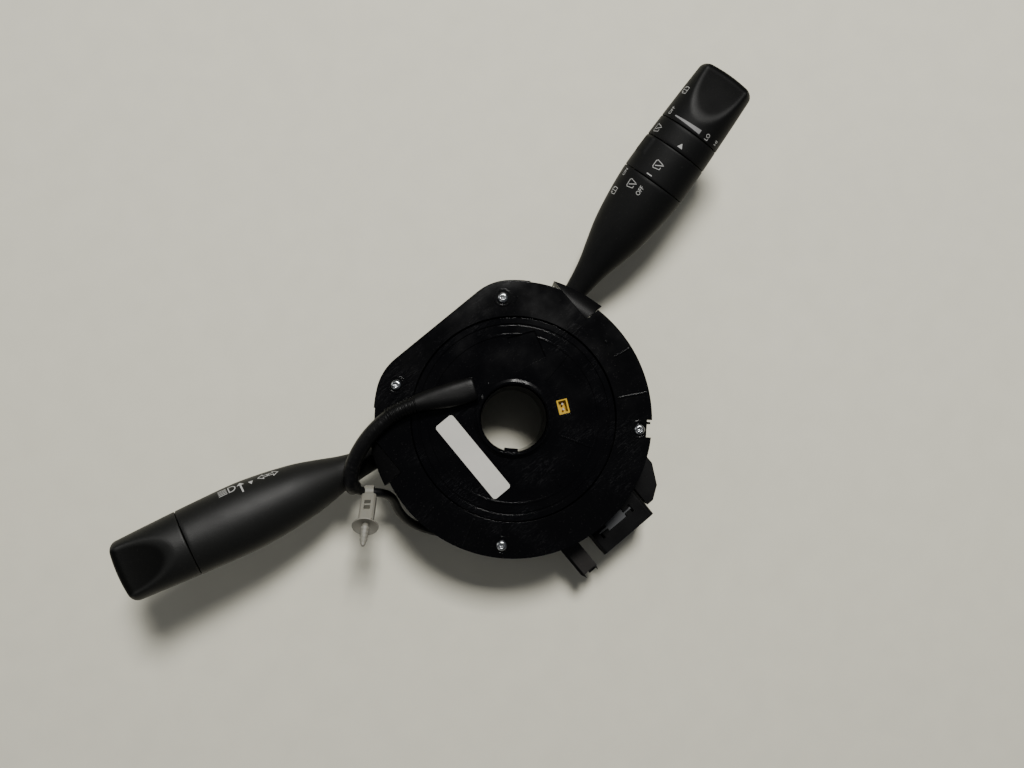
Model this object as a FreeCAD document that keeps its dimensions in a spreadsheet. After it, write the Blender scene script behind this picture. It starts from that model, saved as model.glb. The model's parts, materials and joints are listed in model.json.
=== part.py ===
"""Airbag clock spring on its column switch carrier, in millimetres.

Frame: +Z runs along the steering axis towards the driver, +Y is twelve o'clock, +X is the
driver's right. The origin lies on the steering axis in the plane of the mounting bosses.
"""
import FreeCAD
import Part
import Sketcher
import math
import os

V = FreeCAD.Vector
doc = FreeCAD.newDocument("clock_spring")
sheet = doc.addObject("Spreadsheet::Sheet", "dims")

DIMS = {
    # front plate and its rim
    "plate_radius": 66.7, "plate_flat": 57.9, "plate_blend": 25.0, "plate_top": 49.0,
    "plate_wall": 2.0, "rim_bottom": 33.0, "window_radius": 49.6,
    # rotor
    "shaft_radius": 16.0, "hub_radius": 19.0, "disc_radius": "=window_radius - 0.6", "disc_bottom": 45.2,
    "disc_top": 47.5, "drum_inner": 27.8, "drum_outer": 29.6,
    # ribbon and its chamber
    "chamber_radius": "=core_radius - core_wall - 1.9", "ribbon_inner": "=drum_outer + 1.45",
    "ribbon_outer": "=chamber_radius - 1.7", "ribbon_turns": 5, "ribbon_gauge": 0.3,
    "ribbon_bottom": 32.6, "ribbon_top": 44.4,
    # carrier
    "core_radius": 50.5, "core_wall": 2.0, "floor_bottom": 13.0, "floor_top": 15.5,
    "deck": 30.0, "collar_gap": 0.06, "boss_circle": 46.0, "boss_radius": 5.4,
    "insert_radius": 3.2, "insert_bore": 2.1, "insert_depth": 10.0,
    # rear cover and its screws
    "cover_bottom": 2.0, "cover_top": 4.0, "cover_radius": "=core_radius - 2.3", "pilot_radius": 18.5,
    "pilot_wall": 2.5, "cover_screw_circle": 40.0, "cover_screw_shank": 1.25,
    # angle sensor gears
    "gear_module": 0.8, "gear_backlash": 0.09, "ring_teeth": 60, "gear_a_teeth": 23,
    "gear_b_teeth": 21, "gear_a_angle": -60.0, "gear_b_angle": -120.0,
    # sensor board
    "board_bottom": 10.4, "board_gauge": 1.6, "board_outer": "=core_radius - 2.9", "board_inner": 26.2,
    # levers: the axis starts over (lever_x, lever_y) at height lever_z
    "lever_x": 44.0, "lever_y": 24.0, "lever_z": 19.5, "lever_azimuth": 14.4,
    "lever_rise": 17.2, "tilt_height": 22.5, "swing_offset": 8.5, "lever_length": 150.2,
    "lever_root": 19.0, "rod_radius": 3.2, "core_tube": 5.0, "lever_flatness": 0.72,
    "seam_ring": "=lever_length - 60.1", "seam_collar": "=lever_length - 42.3",
    "seam_knob": "=lever_length - 31.7", "seam_gap": 0.3, "rod_end": 62.0,
    "pin_radius": 2.0, "cross_pin_radius": 1.6,
    # front screws
    "screw_head": 2.6, "screw_shank": 1.2, "screw_x_top": "=plate_radius - 33.5", "screw_y_top": "=plate_flat - 9.6",
    "screw_x_low": "=0.7104 * (plate_radius - 6.03)", "screw_y_low": "=-0.7038 * (plate_radius - 6.03)",
    # vehicle header and squib header
    "header_left": -8.0, "header_right": 24.0, "header_mouth": -81.0, "header_top": 32.6,
    "header_pins_per_row": 10, "squib_left": -23.5, "squib_right": -14.0,
    "squib_mouth": -86.0, "squib_top": 27.0,
    # label and socket on the rotor
    "label_width": 10.3, "label_height": 45.0, "label_gauge": 0.15,
    "socket_radial": 5.3, "socket_tangential": 7.2, "socket_circle": 24.6,
    # lead
    "sleeve_radius": 3.8, "cable_radius": 2.2,
}
for row, (alias, value) in enumerate(DIMS.items(), 1):
    sheet.set(f"A{row}", alias)
    sheet.set(f"B{row}", str(value))
    sheet.setAlias(f"B{row}", alias)
doc.recompute()


def dim(alias):
    return float(sheet.get(alias))


NODES = []


def node(label, shape, place=None):
    """Adds one sub-part: its shape in its own frame, then its Placement in the assembly."""
    obj = doc.addObject("Part::Feature", label)
    obj.Label = label
    obj.Shape = shape
    if place is not None:
        obj.Placement = place
    NODES.append(obj)
    return obj


def cyl(radius, z0, z1, x=0.0, y=0.0):
    return Part.makeCylinder(radius, z1 - z0, V(x, y, z0))


def tube(outer, inner, z0, z1, x=0.0, y=0.0):
    return cyl(outer, z0, z1, x, y).cut(cyl(inner, z0 - 1, z1 + 1, x, y))


def box(x0, x1, y0, y1, z0, z1):
    x0, x1 = min(x0, x1), max(x0, x1)
    return Part.makeBox(x1 - x0, y1 - y0, z1 - z0, V(x0, y0, z0))


def prism(points, z0, z1):
    wire = Part.makePolygon([V(x, y, z0) for x, y in points + points[:1]])
    return Part.Face(wire).extrude(V(0, 0, z1 - z0))


def revolved(points):
    wire = Part.makePolygon([V(r, 0, z) for r, z in points + points[:1]])
    return Part.Face(wire).revolve(V(0, 0, 0), V(0, 0, 1), 360)


def turned_part(profile, sides, x=0.0, y=0.0, z=0.0):
    """A small turned piece with flat sides, from radii and heights along its closed profile."""
    angles = [2 * math.pi * i / sides for i in range(sides)]
    rings = [[V(x + r * math.cos(a), y + r * math.sin(a), z + h) for a in angles] for r, h in profile]
    faces = []
    for low_ring, high_ring, (r0, _), (r1, _) in zip(rings, rings[1:], profile, profile[1:]):
        for i in range(sides):
            j = (i + 1) % sides
            corners = [low_ring[i], low_ring[j], high_ring[j], high_ring[i]]
            if r0 == 0:
                corners = [low_ring[i], high_ring[j], high_ring[i]]
            if r1 == 0:
                corners = [low_ring[i], low_ring[j], high_ring[i]]
            faces.append(Part.Face(Part.makePolygon(corners + corners[:1])))
    solid = Part.Solid(Part.Shell(faces))
    return solid if solid.Volume > 0 else solid.reversed()


def fuse(first, *others):
    return first.multiFuse(list(others)).removeSplitter()


def cut(first, *others):
    for other in others:
        first = first.cut(other)
    return first


def polar(radius, degrees):
    a = math.radians(degrees)
    return radius * math.cos(a), radius * math.sin(a)


def turned(shape, degrees):
    copy = shape.copy()
    copy.rotate(V(0, 0, 0), V(0, 0, 1), degrees)
    return copy


def expression(obj, prop, text):
    obj.setExpression(prop, text)


def new_body(label):
    body = doc.addObject("PartDesign::Body", label)
    body.Label = label
    NODES.append(body)
    return body


def sketch_on(body, name, z_expression, plane="XY_Plane"):
    sk = body.newObject("Sketcher::SketchObject", name)
    base = [f for f in body.Origin.OriginFeatures if f.Role == plane][0]
    sk.AttachmentSupport = [(base, "")]
    sk.MapMode = "FlatFace"
    expression(sk, "AttachmentOffset.Base.z", z_expression)
    return sk


def ring_in(sk, radius_expression, x=0.0, y=0.0):
    """Adds a circle whose radius follows the sheet, fixed at x, y."""
    n = sk.addGeometry(Part.Circle(V(x, y, 0), V(0, 0, 1), 1.0), False)
    if x == 0.0 and y == 0.0:
        sk.addConstraint(Sketcher.Constraint("Coincident", n, 3, -1, 1))
    else:
        sk.addConstraint(Sketcher.Constraint("DistanceX", -1, 1, n, 3, x))
        sk.addConstraint(Sketcher.Constraint("DistanceY", -1, 1, n, 3, y))
    c = sk.addConstraint(Sketcher.Constraint("Radius", n, 1.0))
    expression(sk, f"Constraints[{c}]", radius_expression)
    return n


def rectangle_in(sk, x0, x1, y0, y1):
    """Adds a closed, constrained rectangle."""
    corners = [V(x0, y0, 0), V(x1, y0, 0), V(x1, y1, 0), V(x0, y1, 0)]
    n = [sk.addGeometry(Part.LineSegment(corners[i], corners[(i + 1) % 4]), False)
         for i in range(4)]
    for i in range(4):
        sk.addConstraint(Sketcher.Constraint("Coincident", n[i], 2, n[(i + 1) % 4], 1))
    for i in (0, 2):
        sk.addConstraint(Sketcher.Constraint("Horizontal", n[i]))
    for i in (1, 3):
        sk.addConstraint(Sketcher.Constraint("Vertical", n[i]))
    for kind, i, value in (("DistanceX", 0, x0), ("DistanceY", 0, y0)):
        sk.addConstraint(Sketcher.Constraint(kind, -1, 1, n[i], 1, value))
    for kind, i, value in (("DistanceX", 0, x1 - x0), ("DistanceY", 1, y1 - y0)):
        sk.addConstraint(Sketcher.Constraint(kind, n[i], 1, n[i], 2, value))


def pad(body, name, sk, length_expression):
    feature = body.newObject("PartDesign::Pad", name)
    feature.Profile = sk
    expression(feature, "Length", length_expression)
    sk.Visibility = False
    body.Tip = feature
    return feature


def pocket(body, name, sk, length):
    """Cuts upwards, so a sketch below the solid reaches through it."""
    feature = body.newObject("PartDesign::Pocket", name)
    feature.Profile = sk
    feature.Length = length
    feature.Reversed = True
    body.Tip = feature
    return feature


def polar_pattern(body, name, features, count):
    feature = body.newObject("PartDesign::PolarPattern", name)
    feature.Originals = features
    axis = [f for f in body.Origin.OriginFeatures if f.Role == "Z_Axis"][0]
    feature.Axis = (axis, [""])
    feature.Angle = 360
    feature.Occurrences = count
    body.Tip = feature
    return feature


# The three mounting bosses stand at 90, 210 and 330 degrees, the cover screws between them.
BOSS_ANGLES = (90, 210, 330)
COVER_SCREW_ANGLES = (30, 150, 270)
SIDES = (("left", -1), ("right", 1))
TOP, RADIUS = dim("plate_top"), dim("plate_radius")
SCREWS = [(s * dim("screw_x_top"), dim("screw_y_top")) for s in (-1, 1)]
SCREWS += [(s * dim("screw_x_low"), dim("screw_y_low")) for s in (-1, 1)]


def plate_block(inset, z0, z1):
    """A circle with a flat top whose corners are blended, inset from the outline."""
    block = cyl(RADIUS - inset, z0, z1)
    block = block.common(box(-80, 80, -80, dim("plate_flat") - inset, z0, z1))
    corners = [e for e in block.Edges if abs(e.Vertexes[0].Z - e.Vertexes[-1].Z) > 1
               and abs(e.Vertexes[0].X) > 10 and e.Vertexes[0].Y > 50]
    return block.makeFillet(dim("plate_blend") - inset, corners)


def hood_gap(side, grow):
    """The notch that each lever root takes out of the plate's rim."""
    return box(side * (57.6 - grow), side * 80, 14.4 - grow, 40.3 + grow, 28, TOP + 5)


# Rear housing

core, wall = dim("core_radius"), dim("core_wall")
low, floor = dim("floor_bottom"), dim("floor_top")
collar_bore = dim("hub_radius") + dim("collar_gap")
housing = tube(core, core - wall, dim("cover_top"), dim("deck"))
housing = fuse(housing, cyl(core, low, floor), cyl(collar_bore + 2.5, low, 24.0))
for x, y in SCREWS:
    reach = math.hypot(x, y)
    web = box(core - 1.0, reach, -1.2, 1.2, low, dim("deck"))
    web.rotate(V(0, 0, 0), V(0, 0, 1), math.degrees(math.atan2(y, x)))
    housing = fuse(housing, cyl(3.4, low, TOP - 2.05, x, y), web)
for side in (-1, 1):
    bay = box(side * 26.5, side * 66, 4.6, 45.4, low, dim("deck"))
    hollow = box(side * 28.2, side * 80, 6.1, 43.9, floor, dim("deck") + 1)
    bay = bay.common(cyl(66.0, low, dim("deck")))
    housing = fuse(housing, bay)
    housing = housing.cut(hollow)
apron = box(-25, 41, -60, -40, low, floor)
side_block = prism([(25, -44), (40.2, -44), (40.2, -62), (35, -72), (28.5, -76.5), (25, -76.5)],
                   low, 28.0)
side_hollow = prism([(26.8, -50), (38.4, -50), (38.4, -61.5), (33.8, -70.4), (27.8, -74.7),
                     (26.8, -74.7)], low - 1, 26.2)
housing = fuse(housing, apron, side_block).cut(side_hollow)
for a in BOSS_ANGLES:
    x, y = polar(dim("boss_circle"), a)
    housing = fuse(housing, cyl(dim("boss_radius"), 0, low + 1, x, y))
    housing = housing.cut(cyl(dim("insert_radius") + 0.02, -1, dim("insert_depth"), x, y))
for a in COVER_SCREW_ANGLES:
    x, y = polar(dim("cover_screw_circle"), a)
    housing = fuse(housing, cyl(2.8, dim("cover_top"), low + 1, x, y))
    housing = housing.cut(cyl(dim("cover_screw_shank") + 0.05, 3, 12.0, x, y))
for a in (0, 120, 240):
    x, y = polar(37.5, a)
    housing = fuse(housing, cyl(1.6, dim("board_bottom") + dim("board_gauge") + 0.02, low + 1, x, y))
housing = cut(housing, cyl(collar_bore, low - 1, 25.0))
for x, y in SCREWS:
    housing = housing.cut(cyl(dim("screw_shank") + 0.05, 33.0, TOP, x, y))
housing = cut(housing, box(-5.5, 21.5, -core - 2.5, 14.5 - core, low - 1, 29.0),
              box(-22.2, -15.3, -core - 2.5, 12.5 - core, low - 1, 24.5),
              cyl(core - wall, floor, dim("deck") + 1).common(
                  box(-80, 80, -80, 4.6, floor, dim("deck") + 1)).cut(
                      cyl(collar_bore + 2.5, low, 24.0)))
TERMINAL_ANGLE = -125.0
terminal_r = dim("chamber_radius") - 0.2
housing = housing.cut(turned(box(terminal_r - 3.0, terminal_r - 0.8, -4.4, 4.4, low - 1, floor + 1),
                             TERMINAL_ANGLE))
node("rear_housing", housing)

# Threaded inserts in the mounting bosses

inserts = []
for a in BOSS_ANGLES:
    x, y = polar(dim("boss_circle"), a)
    inserts.append(tube(dim("insert_radius"), dim("insert_bore"), 0, dim("insert_depth") - 0.2, x, y))
node("mount_inserts", Part.makeCompound(inserts))

# Rear cover with the pilot collar

cover = new_body("rear_cover")
sk = sketch_on(cover, "cover_outline", "dims.cover_bottom")
ring_in(sk, "dims.cover_radius")
ring_in(sk, "dims.pilot_radius")
pad(cover, "cover_pad", sk, "dims.cover_top - dims.cover_bottom")
sk = sketch_on(cover, "pilot_outline", "0")
ring_in(sk, "dims.pilot_radius + dims.pilot_wall")
ring_in(sk, "dims.pilot_radius")
pad(cover, "pilot_pad", sk, "dims.cover_top")
sk = sketch_on(cover, "boss_notch", "0")
ring_in(sk, "dims.boss_radius + 0.3", 0.0, dim("boss_circle"))
notch = pocket(cover, "boss_notch_pocket", sk, 6.0)
polar_pattern(cover, "boss_notches", [notch], 3)
sk = sketch_on(cover, "screw_hole", "0")
ring_in(sk, "dims.cover_screw_shank + 0.25", 0.0, -dim("cover_screw_circle"))
hole = pocket(cover, "screw_hole_pocket", sk, 6.0)
polar_pattern(cover, "screw_holes", [hole], 3)
sk = sketch_on(cover, "vent", "0")
rectangle_in(sk, -1.2, 1.2, 26.0, 36.0)
vent = pocket(cover, "vent_pocket", sk, 6.0)
polar_pattern(cover, "vents", [vent], 12)
for letter in "ab":
    reach = (dim("ring_teeth") + dim(f"gear_{letter}_teeth")) * dim("gear_module") / 2
    x, y = polar(reach, dim(f"gear_{letter}_angle"))
    sk = sketch_on(cover, f"post_{letter}", "dims.cover_bottom")
    ring_in(sk, "2", x, y)
    pad(cover, f"post_{letter}_pad", sk, "7.4 - dims.cover_bottom")
doc.recompute()

# Screws: a pan head with a hexagon socket over a plain thread-forming shank


def screw(head, shank, length, point):
    profile = [(0, -length - point), (shank, -length), (shank, 0), (head, 0), (head, 0.7),
               (head * 0.8, 1.5), (0, 1.8)]
    drive = turned_part([(0, 0.5), (head * 0.42, 0.5), (head * 0.42, 3), (0, 3)], 6)
    return turned_part(profile, 16).cut(drive)


heads = []
for x, y in SCREWS:
    one = screw(dim("screw_head"), dim("screw_shank"), 12.0, 1.0)
    one.translate(V(x, y, TOP))
    heads.append(one)
node("front_cover_screws", Part.makeCompound(heads))
heads = []
for a in COVER_SCREW_ANGLES:
    one = screw(2.3, dim("cover_screw_shank"), 9.0, 0.8)
    one.rotate(V(0, 0, 0), V(1, 0, 0), 180)
    x, y = polar(dim("cover_screw_circle"), a)
    one.translate(V(x, y, dim("cover_bottom")))
    heads.append(one)
node("rear_cover_screws", Part.makeCompound(heads))

# Front cover: plate, rim, window ring and the outer wall of the ribbon chamber

window, chamber = dim("window_radius"), dim("chamber_radius")
front = plate_block(0, dim("rim_bottom"), TOP)
front = front.cut(plate_block(dim("plate_wall"), dim("rim_bottom") - 1, TOP - 2))
band = plate_block(-0.8, 40, 47.4).cut(plate_block(0.5, 39, 50))
band = band.common(prism([(0, 0), (90, 85), (90, 120), (-90, 120), (-90, 87)], 39, 50))
front = fuse(front, band)
ring = revolved([(window, TOP), (window, 44.8), (chamber, 44.8), (chamber, 32.05),
                 (chamber + 1.8, 32.05), (chamber + 1.8, 43.0), (window + 1.8, 43.0),
                 (window + 1.8, TOP)])
front = fuse(front.cut(cyl(window + 0.5, 30, TOP + 1)), ring)
for side in (-1, 1):
    front = front.cut(hood_gap(side, 0))
    pip_x = side * 58.0
    rib = box(-1.8, 1.8, -0.3, 0.3, TOP - 0.5, TOP + 0.35)
    rib.rotate(V(0, 0, 0), V(0, 0, 1), side * 24)
    rib.translate(V(side * 37.5, 43.6, 0))
    front = fuse(front, rib, cyl(0.7, TOP - 0.5, TOP + 0.3, pip_x, -0.3))
for angle, near in ((-28.6, 51.4), (-8.4, 57.0), (-151.4, 51.4), (-171.6, 57.0)):
    rib = box(near, RADIUS - 1.2, -0.35, 0.35, TOP - 0.5, TOP + 0.4)
    front = fuse(front, turned(rib, angle))
for x, y in SCREWS:
    boss_pad = cyl(4.4, TOP - 0.5, TOP + 0.3, x, y).common(plate_block(0.3, 40, 55))
    seat = cyl(3.5, TOP, TOP + 1, x, y)
    front = cut(fuse(front, boss_pad), seat).cut(cyl(dim("screw_shank") + 0.15, 40, TOP + 1, x, y))
edge_notch = turned(box(RADIUS - 2.6, RADIUS + 2, -4.2, 4.2, 30, TOP + 1), -44.0)
tab = turned(box(RADIUS - 3.2, RADIUS - 0.9, 2.1, 3.2, 42, TOP), -44.0)
front = fuse(front.cut(edge_notch), tab)
node("front_cover", front)

# Chamber floor under the ribbon

deck = new_body("chamber_floor")
sk = sketch_on(deck, "deck_outline", "dims.deck")
ring_in(sk, "dims.core_radius - 0.3")
ring_in(sk, "dims.hub_radius + 1.6")
pad(deck, "deck_pad", sk, "2")
sk = sketch_on(deck, "tail_slot", "0")
slot_x, slot_y = polar(terminal_r - 2.0, TERMINAL_ANGLE)
ring_in(sk, "5", slot_x, slot_y)
pocket(deck, "tail_slot_pocket", sk, 40.0)
doc.recompute()

# Ribbon: one flat spiral, folded out of short flats of film

RIBBON_STEPS = 32


def spiral_ribbon():
    turns, gauge = int(dim("ribbon_turns")), dim("ribbon_gauge")
    pitch = (dim("ribbon_outer") - dim("ribbon_inner") - gauge) / turns
    inner_side, outer_side = [], []
    for i in range(turns * RIBBON_STEPS + 1):
        share = i / RIBBON_STEPS
        x, y = polar(1.0, 360 * share)
        radius = dim("ribbon_inner") + pitch * share
        inner_side.append((x * radius, y * radius))
        outer_side.append((x * (radius + gauge), y * (radius + gauge)))
    return prism(inner_side + outer_side[::-1], 0, dim("ribbon_top") - dim("ribbon_bottom"))


spin = FreeCAD.Rotation(V(0, 0, 1), TERMINAL_ANGLE)
node("ribbon_cable", spiral_ribbon(), FreeCAD.Placement(V(0, 0, dim("ribbon_bottom")), spin))
outer_end = box(terminal_r - 1.15, terminal_r, -4, 4, 32.4, 44.4)
outer_end = fuse(outer_end, box(terminal_r - 2.6, terminal_r, -4, 4, 31.2, 32.4),
                 box(terminal_r - 2.6, terminal_r - 1.2, -3.6, 3.6, 12.05, 32.4))
node("ribbon_terminal_outer", outer_end, FreeCAD.Placement(V(0, 0, 0), spin))
inner_end = box(28.8, dim("drum_outer") + 0.85, -3.5, 3.5, 32.8, 44.2).cut(cyl(dim("drum_outer") + 0.02, 30, 50))
node("ribbon_terminal_inner", inner_end, FreeCAD.Placement(V(0, 0, 0), spin))

# Rotor: face disc with its drum, hub, sensor ring gear and cancel cam

disc_r, disc_z, disc_top = dim("disc_radius"), dim("disc_bottom"), dim("disc_top")
hub_r = dim("hub_radius")
disc = revolved([(hub_r + 0.02, disc_z), (disc_r, disc_z), (disc_r, disc_top), (46.2, disc_top),
                 (46.2, disc_top - 0.6), (45.2, disc_top - 0.6), (45.2, disc_top),
                 (41.3, disc_top), (41.3, disc_top + 0.5), (40.3, disc_top + 0.5),
                 (40.3, disc_top), (hub_r + 0.02, disc_top)])
disc = fuse(disc, tube(dim("drum_outer"), dim("drum_inner"), 33.0, disc_z + 0.5))
recess = prism([(15.2, 16.5), (31.0, 13.2), (35.2, 26.4), (22.4, 32.2)], disc_top - 1.1, 55)
rail = prism([(-18.5, 17.2), (2.0, 20.3), (1.4, 21.1), (-18.9, 18.0)], disc_top - 0.4, disc_top + 0.3)
rail_far = prism([(-22.5, 35.4), (-3.0, 29.0), (-2.6, 29.9), (-22.1, 36.3)], disc_top - 0.4, disc_top + 0.3)
ribs = [turned(box(24.0, 39.5, -0.4, 0.4, disc_top - 0.4, disc_top + 0.5), a)
        for a in (-60, -95, -350)]
disc = fuse(disc.cut(recess), rail, rail_far, *ribs)
radial, tangential = dim("socket_radial"), dim("socket_tangential")
pocket_shell = box(dim("socket_circle") - radial / 2 - 1.4, dim("drum_inner") + 0.4,
                   -tangential / 2 - 1.4, tangential / 2 + 1.4, 36.0, disc_z + 0.5)
pocket_hole = box(dim("socket_circle") - radial / 2 - 0.1, dim("socket_circle") + radial / 2 + 0.1,
                  -tangential / 2 - 0.1, tangential / 2 + 0.1, 37.4, 50)
disc = fuse(disc, turned(pocket_shell, -26)).cut(turned(pocket_hole, -26))
node("rotor_disc", disc)

shaft = dim("shaft_radius")
hub = revolved([(shaft, 4.8), (17.8, 4.8), (17.8, 8.8), (hub_r, 8.8), (hub_r, 48.4),
                (17.6, 48.8), (17.6, 51.0), (shaft + 0.9, 51.0), (shaft + 0.4, 50.5),
                 (shaft + 0.4, 43.9), (shaft, 43.5)])
outer_key = turned(box(hub_r - 0.5, hub_r + 0.9, -1.5, 1.5, 24.3, 29.8), 90)
drive_key = turned(box(shaft - 1.7, shaft + 1.0, -3.25, 3.25, 44.0, 50.4), 225)
node("rotor_hub", fuse(hub, outer_key, drive_key))

# Spur gears with true involute flanks


def gear_face(teeth, module, backlash):
    pitch = teeth * module / 2
    base = pitch * math.cos(math.radians(20))
    tip, root = pitch + 0.95 * module, pitch - 1.25 * module
    half = math.pi / (2 * teeth) - backlash / (2 * pitch)
    involute = math.tan(math.radians(20)) - math.radians(20)

    def flank(radius):
        pressure = math.acos(min(1.0, base / radius))
        return half + involute - (math.tan(pressure) - pressure)

    foot = max(root, base)
    radii = ([root] if root < base else []) + [foot, (foot + tip) / 2, tip]
    points = []
    for i in range(teeth):
        middle = 2 * math.pi * i / teeth
        points += [(r, middle - flank(r)) for r in radii]
        points += [(r, middle + flank(r)) for r in reversed(radii)]
    corners = [V(r * math.cos(a), r * math.sin(a), 0) for r, a in points]
    return Part.Face(Part.makePolygon(corners + corners[:1]))


module, backlash = dim("gear_module"), dim("gear_backlash")
ring_gear = gear_face(int(dim("ring_teeth")), module, backlash).extrude(V(0, 0, 3.6))
ring_gear = ring_gear.fuse(cyl(21.6, 3.6, 7.7)).cut(cyl(17.82, -1, 9)).cut(cyl(hub_r + 0.02, 3.78, 9))
node("rotor_gear", ring_gear.removeSplitter(), FreeCAD.Placement(V(0, 0, 5.0), FreeCAD.Rotation()))

cam = tube(22.2, hub_r + 0.03, 24.4, 29.0)
for a in (0, 180):
    lobe = turned(prism([(21, -6), (25.4, -2.2), (25.4, 2.2), (21, 6)], 24.4, 29.0), a)
    cam = cam.fuse(lobe)
cam = cam.cut(turned(box(hub_r - 1, hub_r + 1.0, -1.6, 1.6, 20, 30), 90)).removeSplitter()
node("cancel_cam", cam)

for letter in "ab":
    teeth = int(dim(f"gear_{letter}_teeth"))
    reach = (dim("ring_teeth") + teeth) * module / 2
    angle = dim(f"gear_{letter}_angle")
    x, y = polar(reach, angle)
    wheel = gear_face(teeth, module, backlash).extrude(V(0, 0, 3.0))
    wheel = fuse(wheel, cyl(4.4, 0, 4.0)).cut(cyl(2.05, -1, 2.6)).cut(cyl(3.02, 3.2, 5))
    # a gap of this wheel faces a tooth of the ring gear on the line of centres
    ring_phase = (angle / (360 / dim("ring_teeth"))) % 1.0
    own = angle + 180 + (360 / teeth) * (0.5 + ring_phase)
    place = FreeCAD.Placement(V(x, y, 5.2), FreeCAD.Rotation(V(0, 0, 1), own))
    node(f"sensor_gear_{letter}", wheel, place)
    magnet = cyl(3.0, 3.22, 4.0)
    node(f"magnet_{letter}", magnet, place)

# Sensor board

board = new_body("control_board")
sk = sketch_on(board, "board_outline", "dims.board_bottom")
ring_in(sk, "dims.board_outer")
ring_in(sk, "dims.board_inner")
pad(board, "board_pad", sk, "dims.board_gauge")
sk = sketch_on(board, "boss_clearance", "0")
ring_in(sk, "dims.boss_radius + 0.4", 0.0, dim("boss_circle"))
clearance = pocket(board, "boss_clearance_pocket", sk, 20.0)
polar_pattern(board, "boss_clearances", [clearance], 3)
sk = sketch_on(board, "column_clearance", "0")
ring_in(sk, "3.2", 0.0, -dim("cover_screw_circle"))
clearance = pocket(board, "column_clearance_pocket", sk, 20.0)
polar_pattern(board, "column_clearances", [clearance], 3)
for letter in "ab":
    reach = (dim("ring_teeth") + dim(f"gear_{letter}_teeth")) * module / 2
    x, y = polar(reach, dim(f"gear_{letter}_angle"))
    sk = sketch_on(board, f"sensor_{letter}", "9.6")
    rectangle_in(sk, x - 2.5, x + 2.5, y - 2.5, y + 2.5)
    pad(board, f"sensor_{letter}_pad", sk, "dims.board_bottom - 9.6")
for name, x0, x1, y0, y1 in (("processor", 8, 18, 28, 38), ("driver", -16, -8, 30, 36),
                             ("memory", -40, -34, -6, 0), ("filter", 30, 34, -14, -8)):
    sk = sketch_on(board, name, "dims.board_bottom + dims.board_gauge")
    rectangle_in(sk, x0, x1, y0, y1)
    pad(board, f"{name}_pad", sk, "0.8")
doc.recompute()

# Vehicle header: shell, grey lock and two rows of pins

left, right, mouth, top = (dim("header_left"), dim("header_right"), dim("header_mouth"),
                           dim("header_top"))
shell = box(left, right, mouth, -core - 0.2, floor + 0.05, top)
rounded = [e for e in shell.Edges if abs(e.Vertexes[0].Y - e.Vertexes[-1].Y) > 5
           and e.Vertexes[0].Z > 30]
shell = shell.makeFillet(2.0, rounded)
shell = cut(shell, cyl(core + 0.1, 10, 40), box(left + 2.4, right - 2.4, mouth - 1, -61, 18.0, top - 2.6),
            box(left + 2.4, right - 2.4, -58.4, -45, floor, top - 2.6))
shell = cut(shell, box(1.5, 13.0, -73.6, -68.6, 25, 40), box(-3.2, 1.6, -72.0, -70.8, 25, 40),
            box(12.9, 17.4, -72.0, -70.8, 25, 40), box(-3.2, -2.0, -74.6, -70.8, 25, 40),
            box(16.2, 17.4, -73.6, -69.4, 25, 40))
pin_xs = [-4.0 + i * (24.0 / (dim("header_pins_per_row") - 1)) for i in range(int(dim("header_pins_per_row")))]
pins = []
for z, y_end in ((21.0, 9.0 - core), (26.6, 12.0 - core)):
    for x in pin_xs:
        shell = shell.cut(box(x - 0.36, x + 0.36, -62, -57, z - 0.36, z + 0.36))
        flat = box(x - 0.32, x + 0.32, -75, y_end, z - 0.32, z + 0.32)
        drop = box(x - 0.32, x + 0.32, y_end - 0.64, y_end, 12.05, z)
        pins.append(flat.fuse(drop).removeSplitter())
node("header_shell", shell)
node("header_pins", Part.makeCompound(pins))
lock = fuse(box(1.6, 12.9, -73.5, -68.7, top - 2.4, top - 1.1),
            box(-3.1, 1.7, -71.9, -70.9, top - 2.4, top - 1.1),
            box(12.8, 17.3, -71.9, -70.9, top - 2.4, top - 1.1))
node("header_lock", lock)

# Squib header: a narrow shell with ribs and two pins

sl, sr, sm, st = dim("squib_left"), dim("squib_right"), dim("squib_mouth"), dim("squib_top")
squib = box(sl + 1.4, sr, sm + 3.0, -50, floor + 0.05, st)
fin = prism([(sl, -62), (sl + 1.5, -62), (sl + 1.5, sm), (sl, sm + 3.5)], floor + 0.05, st - 3)
guide = prism([(sr - 5.5, sm + 3.2), (sr - 5.5, sm), (sr - 1.0, sm), (sr, sm + 3.2)], floor + 0.05, st - 4)
squib = fuse(squib, fin, guide)
squib = cut(squib, cyl(core + 0.1, 10, 40), box(sl + 2.8, sr - 1.3, sm - 1, -66, floor + 1.6, st - 1.6))
for x in (-19.4, -16.6):
    squib = squib.cut(box(x - 0.36, x + 0.36, -70, -48, 21.04, 21.76))
squib = squib.cut(box(sl + 3.2, sr - 1.6, -64.0, -48, 17, st - 3.5))
node("squib_header", squib)
squib_pins = []
for x in (-19.4, -16.6):
    flat = box(x - 0.32, x + 0.32, -76, 10.0 - core, 21.08, 21.72)
    drop = box(x - 0.32, x + 0.32, 9.36 - core, 10.0 - core, 12.05, 21.4)
    squib_pins.append(flat.fuse(drop).removeSplitter())
node("squib_pins", Part.makeCompound(squib_pins))

# Levers. Each has its own frame: X along the lever, Z up from it, origin over the tilt pivot.

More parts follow.
